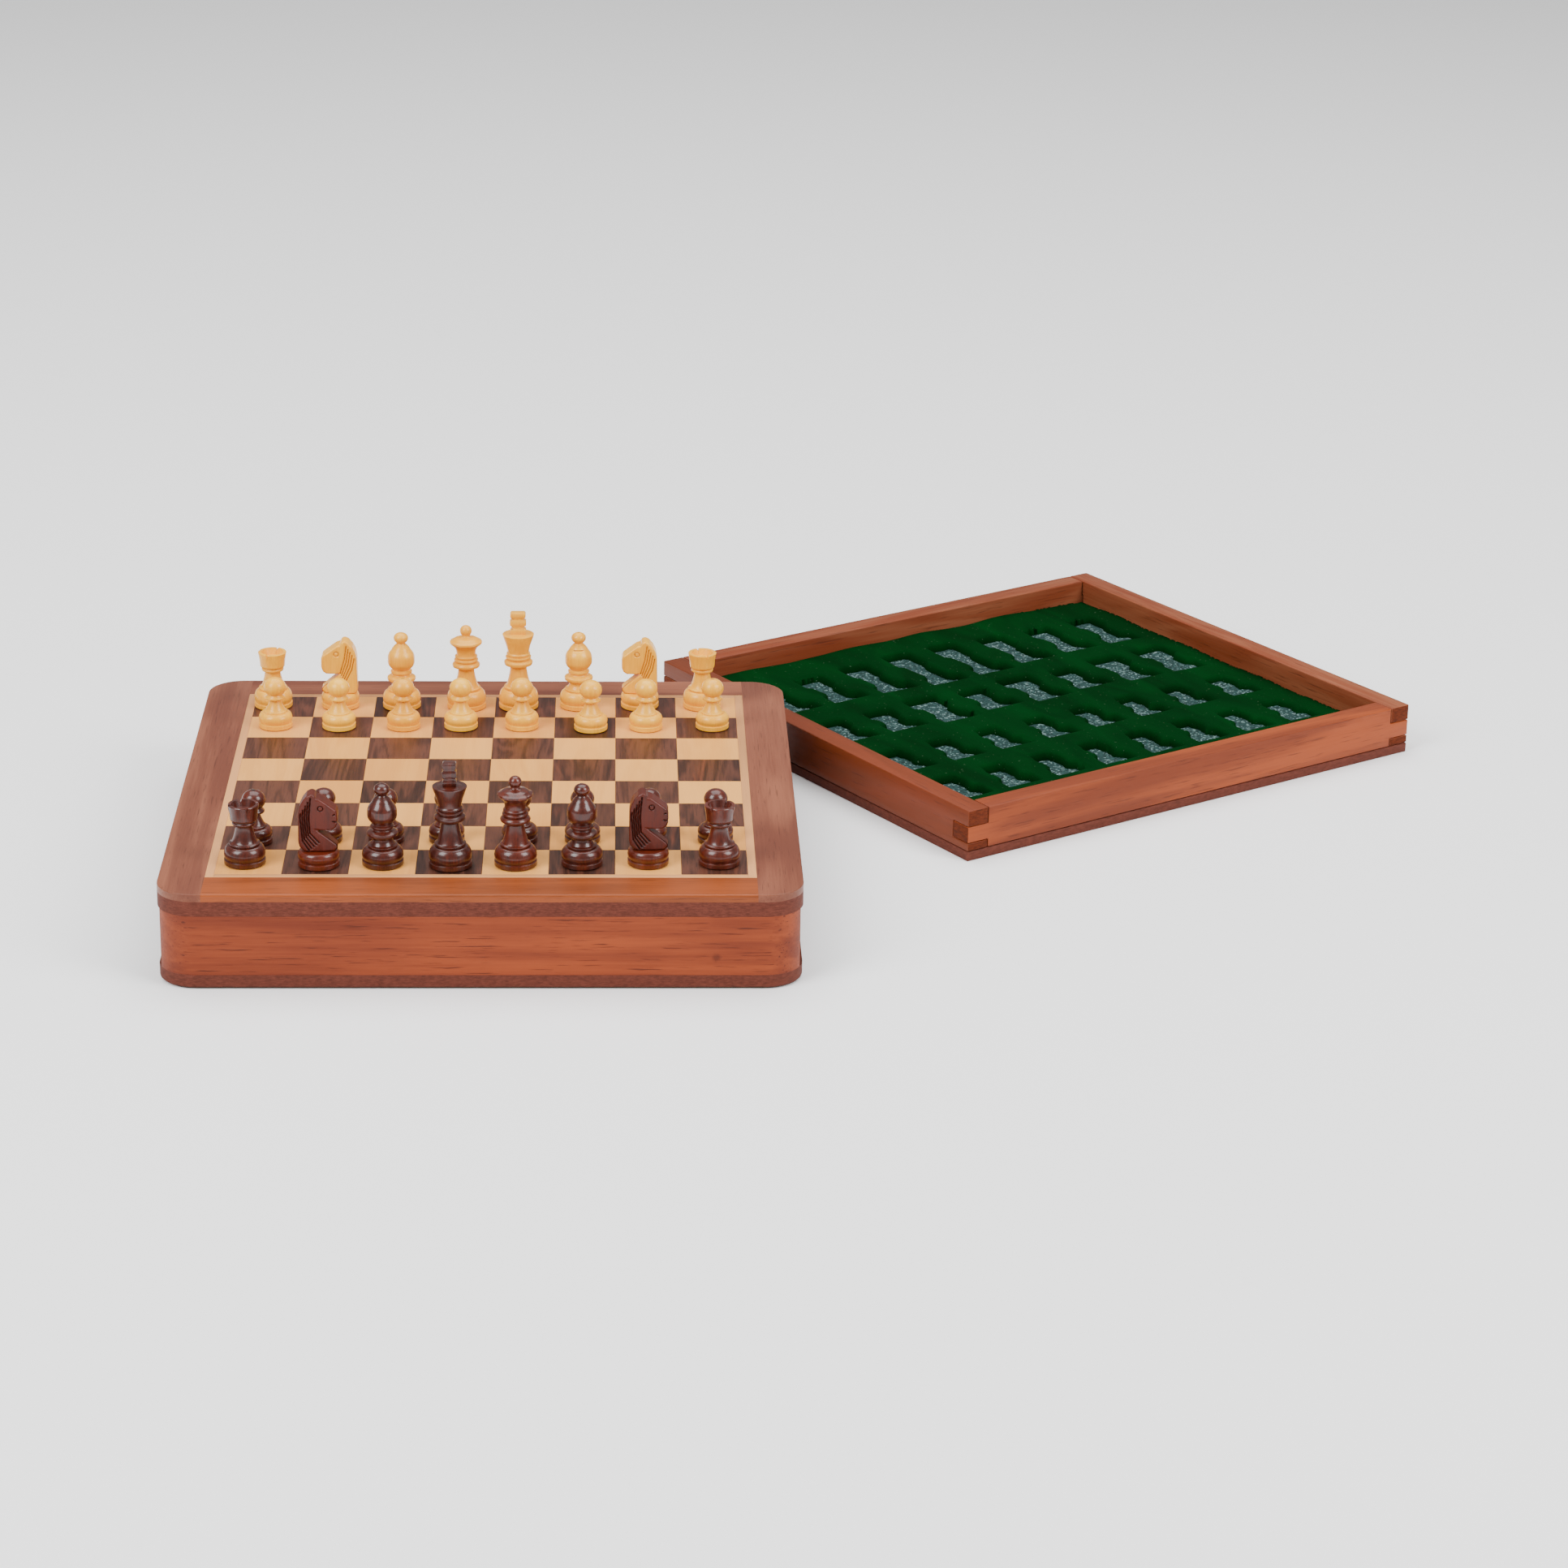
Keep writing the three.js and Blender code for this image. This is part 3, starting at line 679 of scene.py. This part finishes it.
def distance_to(line, point):
    """How far a point is from a broken line."""
    best = 1e9
    for start, end in zip(line, line[1:]):
        span = end - start
        t = max(0, min(1, (point - start).dot(span) / span.length_squared))
        best = min(best, (point - start - span * t).length)
    return best


def gouge(gap, reach, depth):
    """How deep a gouge cuts at some distance from its line: nothing past its reach."""
    return max(0.0, depth * (1 - gap / reach))


def carved_head(facing):
    """The knight's head: a slab with soft edges, with its mane, mouth, nostril and eye cut in."""
    source = bpy.data.meshes.new("head source")
    outline = [point for point in HEAD_OUTLINE if facing > 0 or point != MOUTH]
    rough = slab([*outline, *HEELS[facing]], HEAD_HALF_DEPTH, HEAD_ROUNDING, 1)
    rough.to_mesh(source)
    rough.free()
    holder = add_object("head source", source)
    remesh = holder.modifiers.new("Voxels", "REMESH")
    remesh.mode = "VOXEL"
    remesh.voxel_size = HEAD_GRAIN * MM
    depsgraph = bpy.context.evaluated_depsgraph_get()
    fine = bpy.data.meshes.new_from_object(holder.evaluated_get(depsgraph))
    bm = bmesh.new()
    bm.from_mesh(fine)
    bpy.data.objects.remove(holder)
    bpy.data.meshes.remove(source)
    bpy.data.meshes.remove(fine)
    bmesh.ops.smooth_vert(bm, verts=bm.verts, factor=0.5, use_axis_x=True, use_axis_y=True, use_axis_z=True)

    lines = mane_lines(facing)
    layer = bm.verts.layers.float.new("groove")
    for vert in bm.verts:
        x, y, z = vert.co / MM
        if abs(y) < CARVED_FROM:
            continue
        here = Vector((x, z))
        nearest = min(distance_to(line, here) for line in lines)
        ring = abs((here - EYE).length - EYE_RADIUS)
        cut = max(gouge(nearest, STROKE_REACH, STROKE_DEPTH), gouge(ring, EYE_REACH, EYE_DEPTH))
        # The cut's depth is kept so that painted shade can darken the cut later
        vert[layer] = cut
        chest = (here - THROAT).dot(CHEST_SLOPE)
        if z < THROAT.y and chest > 0:
            cut += CHEST_TAPER * chest
        vert.co.y -= math.copysign(cut * MM, y)
    if facing < 0:
        bmesh.ops.scale(bm, vec=(-1, 1, 1), verts=bm.verts)
    bmesh.ops.recalc_face_normals(bm, faces=bm.faces)
    return bm


# --- the box

KNOT_PLACE = (0.0925, -0.127, 0.0135)  # near the right end of the front wall
FOOT_HEIGHT = 0.6 * MM  # only edges lower than this, at the foot of the box, are rounded on its boards
FELT_RAGGED = 0.25 * MM


def node_middle(node):
    """The middle of a node's underside."""
    low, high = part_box(node)
    return Vector(((low[0] + high[0]) / 2, (low[1] + high[1]) / 2, low[2]))


class CHESS_OT_box(Operator):
    """Makes the box: its stained boards, two walls and the felt under it."""

    bl_idname = "chess.box"
    bl_label = "Box"

    def execute(self, context):
        box = context.scene.chess_box
        board = stained_board("stained board", box.panel)
        for node in ("bottom_panel", "top_panel"):
            bm = merged_copy(node)
            soften(bm, box.edge * 2, chosen=lambda edge: all(vert.co.z < FOOT_HEIGHT for vert in edge.verts))
            piece(f"{node}_board", bm, "box", [board], replaces=[node])

        for node, shift in (("front_wall", (0.31, 0.2, 0.02)), ("back_wall", (0.9, 0.1, 0.4))):
            bm = merged_copy(node)
            soften(bm, box.edge * 0.1, 1)
            grain = wood(f"{node} wood", box.wall, box.wall_deep, figure=0.8, pores=0.75, gloss=0.46,
                         shift=shift, knot=KNOT_PLACE)
            ends = end_grain(f"{node} ends", box.wall_deep, scaled(box.wall_deep, 0.5))
            piece(f"{node}_plank", bm, "box", [grain, ends], replaces=[node],
                  index=faces_along(Vector((1, 0, 0)), 0.97))

        self.make_felt(box)
        return {"FINISHED"}

    def make_felt(self, box):
        """A laid felt with a slightly ragged edge."""
        bm = merged_copy("base_felt")
        edges = [edge for edge in bm.edges if abs(edge.verts[0].co.z - edge.verts[1].co.z) < 1e-6]
        bmesh.ops.subdivide_edges(bm, edges=edges, cuts=24)
        for vert in bm.verts:
            outward = Vector((vert.co.x, vert.co.y, 0)).normalized()
            vert.co += outward * (noise.noise(vert.co * 420) * FELT_RAGGED - FELT_RAGGED)
        felt = piece("base_felt_sheet", bm, "box", [felt_cloth("base felt", box.felt)],
                     replaces=["base_felt"])


# How far in from the board's side its rounded corners reach, and a little more
CORNER_REACH = 16 * MM
# How far each piece's edges are rounded
SQUARE_EDGE, BORDER_EDGE, RAIL_EDGE, FRONT_RAIL_EDGE = 0.06 * MM, 0.12 * MM, 0.35 * MM, 0.9 * MM


class CHESS_OT_board(Operator):
    """Makes the board: steel sheet, veneered squares, pale borders and the four rails."""

    bl_idname = "chess.board"
    bl_label = "Board"

    def execute(self, context):
        board = context.scene.chess_board
        frame["nodes"]["steel_sheet"].data.materials.clear()
        frame["nodes"]["steel_sheet"].data.materials.append(steel_sheet("steel sheet"))
        self.make_squares(board)
        self.make_borders(board)
        self.make_rails(board)
        return {"FINISHED"}

    def make_squares(self, board):
        """The core under the veneer, and the sixty-four squares, each with a grain of its own."""
        core_high = Vector((FIELD_HIGH.x, FIELD_HIGH.y, BOARD_TOP - board.veneer))
        core = stained_board("field core", bpy.context.scene.chess_box.panel)
        piece("field_core", block(FIELD_LOW, core_high), "box", [core],
              replaces=["playing_field"])
        dark = veneer("rosewood veneer", board.dark_square_pale, board.dark_square, True)
        pale = veneer("maple veneer", board.pale_square, board.pale_square_deep, False)
        rng = random.Random(11)
        for row in range(SQUARES):
            for column in range(SQUARES):
                low = Vector((FIELD_LOW.x + column * SQUARE, FIELD_LOW.y + row * SQUARE, core_high.z))
                high = low + Vector((SQUARE, SQUARE, board.veneer))
                inset = Vector((board.seam, board.seam, 0)) / 2
                bm = block(low + inset, high - inset)
                soften(bm, SQUARE_EDGE, 1, chosen=lambda edge, top=high.z: all(
                    abs(vert.co.z - top) < 1e-6 for vert in edge.verts))
                cut = bm.verts.layers.float.new("cut")
                number = rng.random()
                for vert in bm.verts:
                    vert[cut] = number
                wood_here = pale if (row + column) % 2 == 0 else dark
                piece(f"square_{'abcdefgh'[column]}{row + 1}", bm, "box", [wood_here])

    def make_borders(self, board):
        for node, along, shift in (("border_front", "X", (0.1, 0, 0)), ("border_back", "X", (0.5, 0, 0)),
                                   ("border_left", "Y", (0, 0.2, 0)), ("border_right", "Y", (0, 0.7, 0))):
            bm = merged_copy(node)
            soften(bm, BORDER_EDGE, 2)
            strip = wood(f"{node} maple", board.border, scaled(board.border, 0.72), along=along, figure=0.6,
                         pores=0.12, gloss=0.42, coat=0.06, shift=shift)
            piece(f"{node}_strip", bm, "box", [strip], replaces=[node])

    def make_rails(self, board):
        front_deep = scaled(board.front_rail, 0.52)
        looks = {
            "rail_front": ("X", board.front_rail, front_deep, (0.2, 0.3, 0)),
            "rail_back": ("X", board.rail, board.rail_deep, (0.7, 0.1, 0)),
            "rail_left": ("Y", board.rail, board.rail_deep, (0.4, 0.9, 0)),
            "rail_right": ("Y", board.rail, board.rail_deep, (0.15, 0.55, 0)),
        }
        for node, (along, pale, deep, shift) in looks.items():
            low, high = corners(node)
            bm = merged_copy(node)
            outer = max(abs(low.x), abs(low.y), abs(high.x), abs(high.y)) - 1e-4

            def on_outer_top(item, top=high.z, reach=outer):
                ends = [vert.co for vert in item.verts]
                if any(co.z < top - 1e-5 or max(abs(co.x), abs(co.y)) < reach - CORNER_REACH for co in ends):
                    return False
                return not any(abs(face.normal.z) < 0.5 and face.normal.dot(face.calc_center_median()) < 0
                               for face in item.link_faces)

            edge = FRONT_RAIL_EDGE if node == "rail_front" else RAIL_EDGE
            soften(bm, edge, 4, least=40, chosen=on_outer_top)
            grain = wood(f"{node} wood", pale, deep, along=along, figure=0.7, pores=0.5, gloss=0.42,
                         coat=0.06, shift=shift)
            piece(f"{node}_plank", bm, "box", [grain], replaces=[node])


# --- the tray

DULL_WOOD = (0.235, 0.075, 0.033)  # the two far walls are less polished
FOAM_PIT = 0.3 * MM
FOAM_FLOOR_GAP = 0.1 * MM
CLOTH_THICKNESS = 0.35 * MM
CLOTH_DROP = 0.4 * MM  # how far the cloth lies under the top of its pad
CLOTH_COVER = 0.8 * MM  # the least cloth over the foam
BROAD_WAVE, FINE_WAVE, ROW_WAVE = 0.30 * MM, 0.18 * MM, 0.3 * MM
CORNER_SAG, WALL_SAG, WALL_LIFT, WALL_REACH = 1.2 * MM, 0.7 * MM, 1.6 * MM, 7 * MM
ROLL_DEPTH = 1.1 * MM  # how far the cloth turns down at a recess's edge
TUCK = 0.15 * MM  # how far under its pad the cloth is tucked in a recess
CLOTH_SNAP = 0.55  # points nearer than this share of the grain to a recess's edge are drawn onto it
OVERHEAD = Vector((0, 0, 50 * MM))


class CHESS_OT_tray(Operator):
    """Makes the tray: its stained bottom board and four finger-jointed walls."""

    bl_idname = "chess.tray"
    bl_label = "Tray"

    def execute(self, context):
        tray = context.scene.chess_tray
        board = stained_board("tray bottom board", context.scene.chess_box.panel, TRAY_TURN)
        bm = merged_copy("tray_bottom")
        soften(bm, tray.edge)
        piece("tray_bottom_board", bm, "tray", [board], replaces=["tray_bottom"])

        across = UP.cross(TRAY_AXIS)
        deep = tuple(tray.wood_deep)
        # The near end's wood is painted darker: partly a darker board, partly painted shade from the box
        # beside it
        dark = scaled(tray.wood, 0.42)
        walls = {
            "tray_side_near": ("X", tray.wood, TRAY_AXIS, (0.3, 0.1, 0.05)),
            "tray_side_far": ("X", DULL_WOOD, TRAY_AXIS, (0.8, 0.2, 0.15)),
            "tray_end_near": ("Y", dark, across, (0.1, 0.6, 0.25)),
            "tray_end_far": ("Y", DULL_WOOD, across, (0.5, 0.9, 0.35)),
        }
        for node, (along, pale, axis, shift) in walls.items():
            bm = merged_copy(node)
            soften(bm, tray.edge, 3)
            grain = wood(f"{node} wood", pale, deep, along=along, turn=TRAY_TURN, pores=0.55, gloss=0.5,
                         shift=shift)
            ends = end_grain(f"{node} ends", scaled(deep, 0.8), scaled(deep, 0.4), TRAY_TURN)
            piece(f"{node}_plank", bm, "tray", [grain, ends], replaces=[node],
                  index=faces_along(axis, 0.9))
        return {"FINISHED"}


class CHESS_OT_lining(Operator):
    """Makes the tray's lining: the foam floor and the velvet with a soft recess for every man."""

    bl_idname = "chess.lining"
    bl_label = "Lining"

    def execute(self, context):
        tray = context.scene.chess_tray
        self.make_foam(tray)
        self.make_velvet(tray)
        return {"FINISHED"}

    @staticmethod
    def inner_half():
        """Half the length and width of the space inside the tray's walls."""
        home = TRAY_PLACE.inverted()
        spots = [home @ vert.co for vert in frame["nodes"]["velvet_liner"].data.vertices]
        return max(spot.x for spot in spots), max(spot.y for spot in spots)

    def make_foam(self, tray):
        """A foam sheet with a slightly pitted face."""
        half_x, half_y = self.inner_half()
        low, high = corners("foam_base")
        bm = bmesh.new()
        bmesh.ops.create_grid(bm, x_segments=110, y_segments=100, size=1)
        bmesh.ops.scale(bm, vec=(half_x, half_y, 1), verts=bm.verts)
        for vert in bm.verts:
            vert.co.z = high.z + tray.foam_rise + FOAM_PIT * (noise.noise(vert.co * 160) - 0.4)
        skirt = bmesh.ops.extrude_face_region(bm, geom=bm.faces[:])
        for item in skirt["geom"]:
            if isinstance(item, bmesh.types.BMVert):
                item.co.z = low.z + FOAM_FLOOR_GAP
        bmesh.ops.recalc_face_normals(bm, faces=bm.faces)
        bmesh.ops.transform(bm, matrix=TRAY_PLACE, verts=bm.verts)
        foam = piece("foam_floor", bm, "tray", [sparkling_foam("sparkling foam", tray.foam)],
                     replaces=["foam_base"])

    def make_velvet(self, tray):
        """The velvet over its pad: it rolls down into each recess and meets the walls in a soft wave."""
        source = frame["nodes"]["velvet_liner"].data
        upright = [polygon.vertices[:] for polygon in source.polygons if abs(polygon.normal.z) < 0.5]
        walls = BVHTree.FromPolygons([vert.co for vert in source.vertices], upright)
        level = [polygon.vertices[:] for polygon in source.polygons if polygon.normal.z > 0.5]
        faces = BVHTree.FromPolygons([vert.co for vert in source.vertices], level)
        low, high = corners("velvet_liner")
        middle = (low.z + high.z) / 2
        half_x, half_y = self.inner_half()

        bm = bmesh.new()
        bmesh.ops.create_grid(bm, x_segments=round(2 * half_x / tray.pitch),
                              y_segments=round(2 * half_y / tray.pitch), size=1)
        bmesh.ops.scale(bm, vec=(half_x, half_y, 1), verts=bm.verts)
        inside = {}
        home = TRAY_PLACE.inverted()
        for vert in bm.verts:
            spot = TRAY_PLACE @ Vector((vert.co.x, vert.co.y, middle))
            near, _, _, gap = walls.find_nearest(spot)
            covered = faces.ray_cast(spot + OVERHEAD, -UP)[0] is not None
            rim = min(half_x - abs(vert.co.x), half_y - abs(vert.co.y))
            recess_gap = gap if rim > gap + 1e-4 else 1.0
            if recess_gap < CLOTH_SNAP * tray.pitch:
                edge = home @ near
                vert.co.x, vert.co.y = edge.x, edge.y
                covered, recess_gap = True, 0.0
            inside[vert] = 0.0 if covered else gap
            levels = (high.z, low.z, low.z + tray.foam_rise)
            across = (vert.co.x / half_x, vert.co.y / half_y)
            vert.co.z = self.height(vert.co, across, levels, covered, recess_gap, rim, tray.roll)
        holes = [face for face in bm.faces if all(inside[vert] > 0 for vert in face.verts)]
        bmesh.ops.delete(bm, geom=holes, context="FACES")
        bmesh.ops.recalc_face_normals(bm, faces=bm.faces)
        bmesh.ops.transform(bm, matrix=TRAY_PLACE, verts=bm.verts)
        cloth = piece("velvet_lining", bm, "tray", [velvet_cloth("green velvet", tray.velvet)],
                      sharp=180, replaces=["velvet_liner"])
        thick = cloth.modifiers.new("Cloth", "SOLIDIFY")
        thick.thickness = CLOTH_THICKNESS
        thick.offset = -1

    @staticmethod
    def height(spot, across, levels, covered, recess_gap, rim, roll):
        """How high the cloth lies at a spot in the tray, between the liner's levels and over the foam.

        The cloth waves, dips in rows from side to side, sags towards the far right and lifts at the walls.
        """
        top, floor, foam = levels
        if not covered:
            return floor - TUCK
        wave = BROAD_WAVE * noise.noise(Vector((spot.x * 26, spot.y * 26, 3)))
        wave += FINE_WAVE * noise.noise(Vector((spot.x * 70, spot.y * 70, 9)))
        right, back = max(0, across[0]), across[1]
        sag = CORNER_SAG * right ** 2 * (0.5 - 0.5 * back)
        edge = max(0, 1 - rim / WALL_REACH)
        lift = WALL_LIFT * edge ** 2 * noise.noise(Vector((spot.x * 34, spot.y * 34, 5)))
        row = math.cos(2 * math.pi * (2 * back + 0.1))
        sag += WALL_SAG * right ** 5 * (1 + row)
        surface = top - CLOTH_DROP + wave - sag + lift + ROW_WAVE * row
        surface = max(surface, foam + CLOTH_COVER)
        near = max(0, 1 - recess_gap / roll)
        return surface - ROLL_DEPTH * (1 - math.sqrt(max(0, 1 - near * near)))


# --- the men

def army_materials(men):
    """The lacquered woods of the two armies, made once."""
    made = bpy.data.materials
    if "dark lacquered wood" not in made:
        turned_wood("dark lacquered wood", men.dark, men.dark_deep, 0.28, 0.50, 0.5)
        turned_wood("light satin wood", men.light, men.light_deep, 0.28, 0.22, 0.12)
        turned_wood("dark carved wood", men.dark_carved, men.dark_deep, 0.38, 0.08, 0.5)
        felt_cloth("disc felt", men.felt)
    names = {"dark": "dark lacquered wood", "light": "light satin wood", "dark carving": "dark carved wood",
             "light carving": "light satin wood", "felt": "disc felt"}
    return {use: made[name] for use, name in names.items()}


def nodes_of(kind):
    """The frame's nodes of one kind of man, in both armies."""
    return sorted(name for name in frame["nodes"] if name.split("_")[1:2] == [kind])


def felt_disc(man, place, radius, material):
    """The thin felt disc glued under a man."""
    bm = spun([(0, 0.02), (radius - 0.25, 0.02), (radius - 0.15, 0.1), (radius - 0.2, 0.22), (0, 0.22)], 32)
    bmesh.ops.translate(bm, vec=place, verts=bm.verts)
    piece(f"{man}_felt", bm, man, [material])


# How far a man's wood stands from the middle of its army's, -1 pale to 1 deep
TINTS = {"light_pawn_2": -0.9, "light_pawn_3": 0.8, "light_pawn_4": -0.7, "light_queen": 0.9,
         "light_rook_1": 0.2, "light_pawn_6": -0.3, "light_king": 0.4, "light_pawn_7": -0.5,
         "light_bishop_1": 0.3,
         "dark_knight_1": -0.9, "dark_knight_2": -0.6, "dark_rook_1": 0.1, "dark_rook_2": -0.2,
         "dark_king": 0.5, "dark_bishop_1": 0.3, "dark_queen": -0.2, "dark_bishop_2": 0.3}
# Men whose ball ends in a small dark pip, where the lathe's centre held it
PIPS = ("light_pawn_3", "light_pawn_8", "dark_pawn_1", "light_bishop_2")
# GROOVE_SHADE darkens a knight's carved cuts: painted shade, as if shade fell into them
PIP_HEIGHT, PIP_DEPTH, GROOVE_SHADE = 0.05 * MM, 3.0, 4


def tint(bm, man):
    """Sets on a man's points how deep its wood's tone is, deepest on a pip, with painted shade in a carver's
    cuts.
    """
    groove = bm.verts.layers.float.get("groove")
    layer = bm.verts.layers.float.new("tint")
    top = max(vert.co.z for vert in bm.verts)
    for vert in bm.verts:
        vert[layer] = TINTS.get(man, 0.0) + (GROOVE_SHADE * vert[groove] if groove else 0)
        if man in PIPS and vert.co.z > top - PIP_HEIGHT:
            vert[layer] = PIP_DEPTH


def turn_men(context, kind, shape, cut):
    """Turns every man of one kind, cuts it and stands it where the frame has it."""
    men = context.scene.chess_men
    materials = army_materials(men)
    for node in nodes_of(kind):
        if node.endswith("_head"):
            continue
        army = node.split("_")[0]
        man = node.removesuffix("_base")
        bm = spun(profile(shape, men.bead_steps), men.steps)
        cut(bm, node)
        place = node_middle(node)
        spin = 0 if kind in ("king", "bishop") else sum(map(ord, node)) * 0.7
        bmesh.ops.rotate(bm, cent=(0, 0, 0), verts=bm.verts, matrix=Matrix.Rotation(spin, 3, "Z"))
        bmesh.ops.translate(bm, vec=place, verts=bm.verts)
        tint(bm, man)
        piece(f"{node}_turning", bm, man, [materials[army]], sharp=40, replaces=[node])
        felt_disc(man, place, shape[0][0], materials["felt"])
    return {"FINISHED"}


class TurnedMen:
    """What the makers of turned men share: a kind, its outline and what is cut into it."""

    @staticmethod
    def cut(bm, node):
        """A plain man has nothing cut into it."""

    def execute(self, context):
        return turn_men(context, self.kind, self.shape, self.cut)


class CHESS_OT_pawns(TurnedMen, Operator):
    """Turns the pawns."""

    bl_idname = "chess.pawns"
    bl_label = "Pawns"
    kind, shape = "pawn", PAWN


class CHESS_OT_rooks(TurnedMen, Operator):
    """Turns the rooks, with a hollow cup and four small notches in its rim."""

    bl_idname = "chess.rooks"
    bl_label = "Rooks"
    kind, shape = "rook", ROOK

    @staticmethod
    def cut(bm, node):
        notch_rim(bm, inner=4.4, low=24.2, count=4, depth=0, drop=1.3, share=0.0625, phase=0.03)


class CHESS_OT_bishops(TurnedMen, Operator):
    """Turns the bishops, with a cut on the near side of one and on the far side of the others."""

    bl_idname = "chess.bishops"
    bl_label = "Bishops"
    kind, shape = "bishop", BISHOP

    @staticmethod
    def cut(bm, node):
        mitre_cut(bm, -1 if node == "light_bishop_2" else 1)


class CHESS_OT_queens(TurnedMen, Operator):
    """Turns the queens, with a scalloped coronet."""

    bl_idname = "chess.queens"
    bl_label = "Queens"
    kind, shape = "queen", QUEEN

    @staticmethod
    def cut(bm, node):
        notch_rim(bm, inner=6.2, low=29.2, count=9, depth=0.12, drop=0.12, share=0.3)


class CHESS_OT_kings(TurnedMen, Operator):
    """Turns the kings and stands the flat finial on the crown."""

    bl_idname = "chess.kings"
    bl_label = "Kings"
    kind, shape = "king", KING

    @staticmethod
    def cut(bm, node):
        half_width, pinch, lean = (3.5, 1.25, 0.12) if node.startswith("light") else (2.9, 0.6, 0.05)
        outline = flat_finial(half_width, pinch, lean)
        finial = slab(outline, FINIAL_HALF_DEPTH, 0.25, 2)
        pinch_faces(finial, outline, 0.2 * pinch)
        join(bm, finial)


class CHESS_OT_knights(TurnedMen, Operator):
    """Turns the knights' feet and carves their heads."""

    bl_idname = "chess.knights"
    bl_label = "Knights"
    kind, shape = "knight", KNIGHT_FOOT

    def execute(self, context):
        materials = army_materials(context.scene.chess_men)
        super().execute(context)
        for node in nodes_of("knight"):
            if not node.endswith("_head"):
                continue
            man = node.removesuffix("_head")
            army = man.split("_")[0]
            bm = carved_head(1 if army == "dark" else -1)
            bmesh.ops.translate(bm, vec=node_middle(f"{man}_base"), verts=bm.verts)
            tint(bm, man)
            wood_here = materials[f"{army} carving"]
            piece(f"{node}_carving", bm, man, [wood_here], sharp=50, replaces=[node])
        return {"FINISHED"}


# --- the stage

LAMP_TARGET = Vector((0.1, 0.05, 0.02))
FLOOR_HALF = 30


class CHESS_OT_stage(Operator):
    """Makes the pale floor, the soft lamps and the camera."""

    bl_idname = "chess.stage"
    bl_label = "Stage"

    def execute(self, context):
        stage = context.scene.chess_stage
        self.make_floor(stage)
        self.make_lamp("key lamp", (-1.3, -1.1, 1.5), (1.1, 1.4), 58)
        self.make_lamp("fill lamp", (1.5, -0.9, 1.3), (1.0, 1.2), 44)
        self.make_lamp("top lamp", (0.1, 0.5, 2.2), (2.4, 2.0), 66)
        world = bpy.data.worlds.new("studio")
        world.use_nodes = True
        back = world.node_tree.nodes["Background"]
        back.inputs["Color"].default_value = (1, 1, 1, 1)
        back.inputs["Strength"].default_value = 0.35
        context.scene.world = world

        lens = bpy.data.cameras.new("camera")
        lens.lens = stage.lens
        lens.sensor_width = 36
        camera = add_object("camera", lens)
        camera.location = stage.place
        camera.rotation_euler = stage.turn
        context.scene.camera = camera
        return {"FINISHED"}

    @staticmethod
    def make_floor(stage):
        bm = bmesh.new()
        bmesh.ops.create_grid(bm, x_segments=1, y_segments=1, size=FLOOR_HALF)
        mesh = bpy.data.meshes.new("floor")
        bm.to_mesh(mesh)
        bm.free()
        floor = add_object("floor", mesh)
        shade = Shade("floor")
        grain = shade.noise(shade.place(), 300, 2)
        mesh.materials.append(shade.finish(stage.floor, grain * 0.1 + 0.7))

    @staticmethod
    def make_lamp(name, place, size, power):
        data = bpy.data.lights.new(name, "AREA")
        data.shape = "RECTANGLE"
        data.size, data.size_y = size
        data.energy = power
        lamp = add_object(name, data)
        lamp.location = place
        aim = LAMP_TARGET - lamp.location
        lamp.rotation_euler = aim.to_track_quat("-Z", "Y").to_euler()


class CHESS_PT_set(Panel):
    """Lists the set's makers in the sidebar."""

    bl_label = "Travel Chess Set"
    bl_space_type = "VIEW_3D"
    bl_region_type = "UI"
    bl_category = "Chess"

    def draw(self, context):
        for maker in MAKERS:
            self.layout.operator(maker.bl_idname)
        for name in SETTINGS:
            self.layout.label(text=name)
            settings = getattr(context.scene, name)
            for field in settings.bl_rna.properties.keys()[2:]:
                self.layout.prop(settings, field)


SETTINGS = {"chess_board": BoardSettings, "chess_box": BoxSettings, "chess_tray": TraySettings,
            "chess_men": MenSettings, "chess_stage": StageSettings}
MAKERS = (CHESS_OT_box, CHESS_OT_board, CHESS_OT_tray, CHESS_OT_lining, CHESS_OT_pawns, CHESS_OT_rooks,
          CHESS_OT_knights, CHESS_OT_bishops, CHESS_OT_queens, CHESS_OT_kings, CHESS_OT_stage)


def register():
    for name, group in SETTINGS.items():
        bpy.utils.register_class(group)
        setattr(bpy.types.Scene, name, PointerProperty(type=group))
    for maker in (*MAKERS, CHESS_PT_set):
        bpy.utils.register_class(maker)


def unregister():
    for maker in reversed((*MAKERS, CHESS_PT_set)):
        bpy.utils.unregister_class(maker)
    for name, group in SETTINGS.items():
        delattr(bpy.types.Scene, name)
        bpy.utils.unregister_class(group)


def main():
    register()
    for maker in MAKERS:
        group, name = maker.bl_idname.split(".")
        getattr(getattr(bpy.ops, group), name)()


if __name__ == "__main__":
    main()
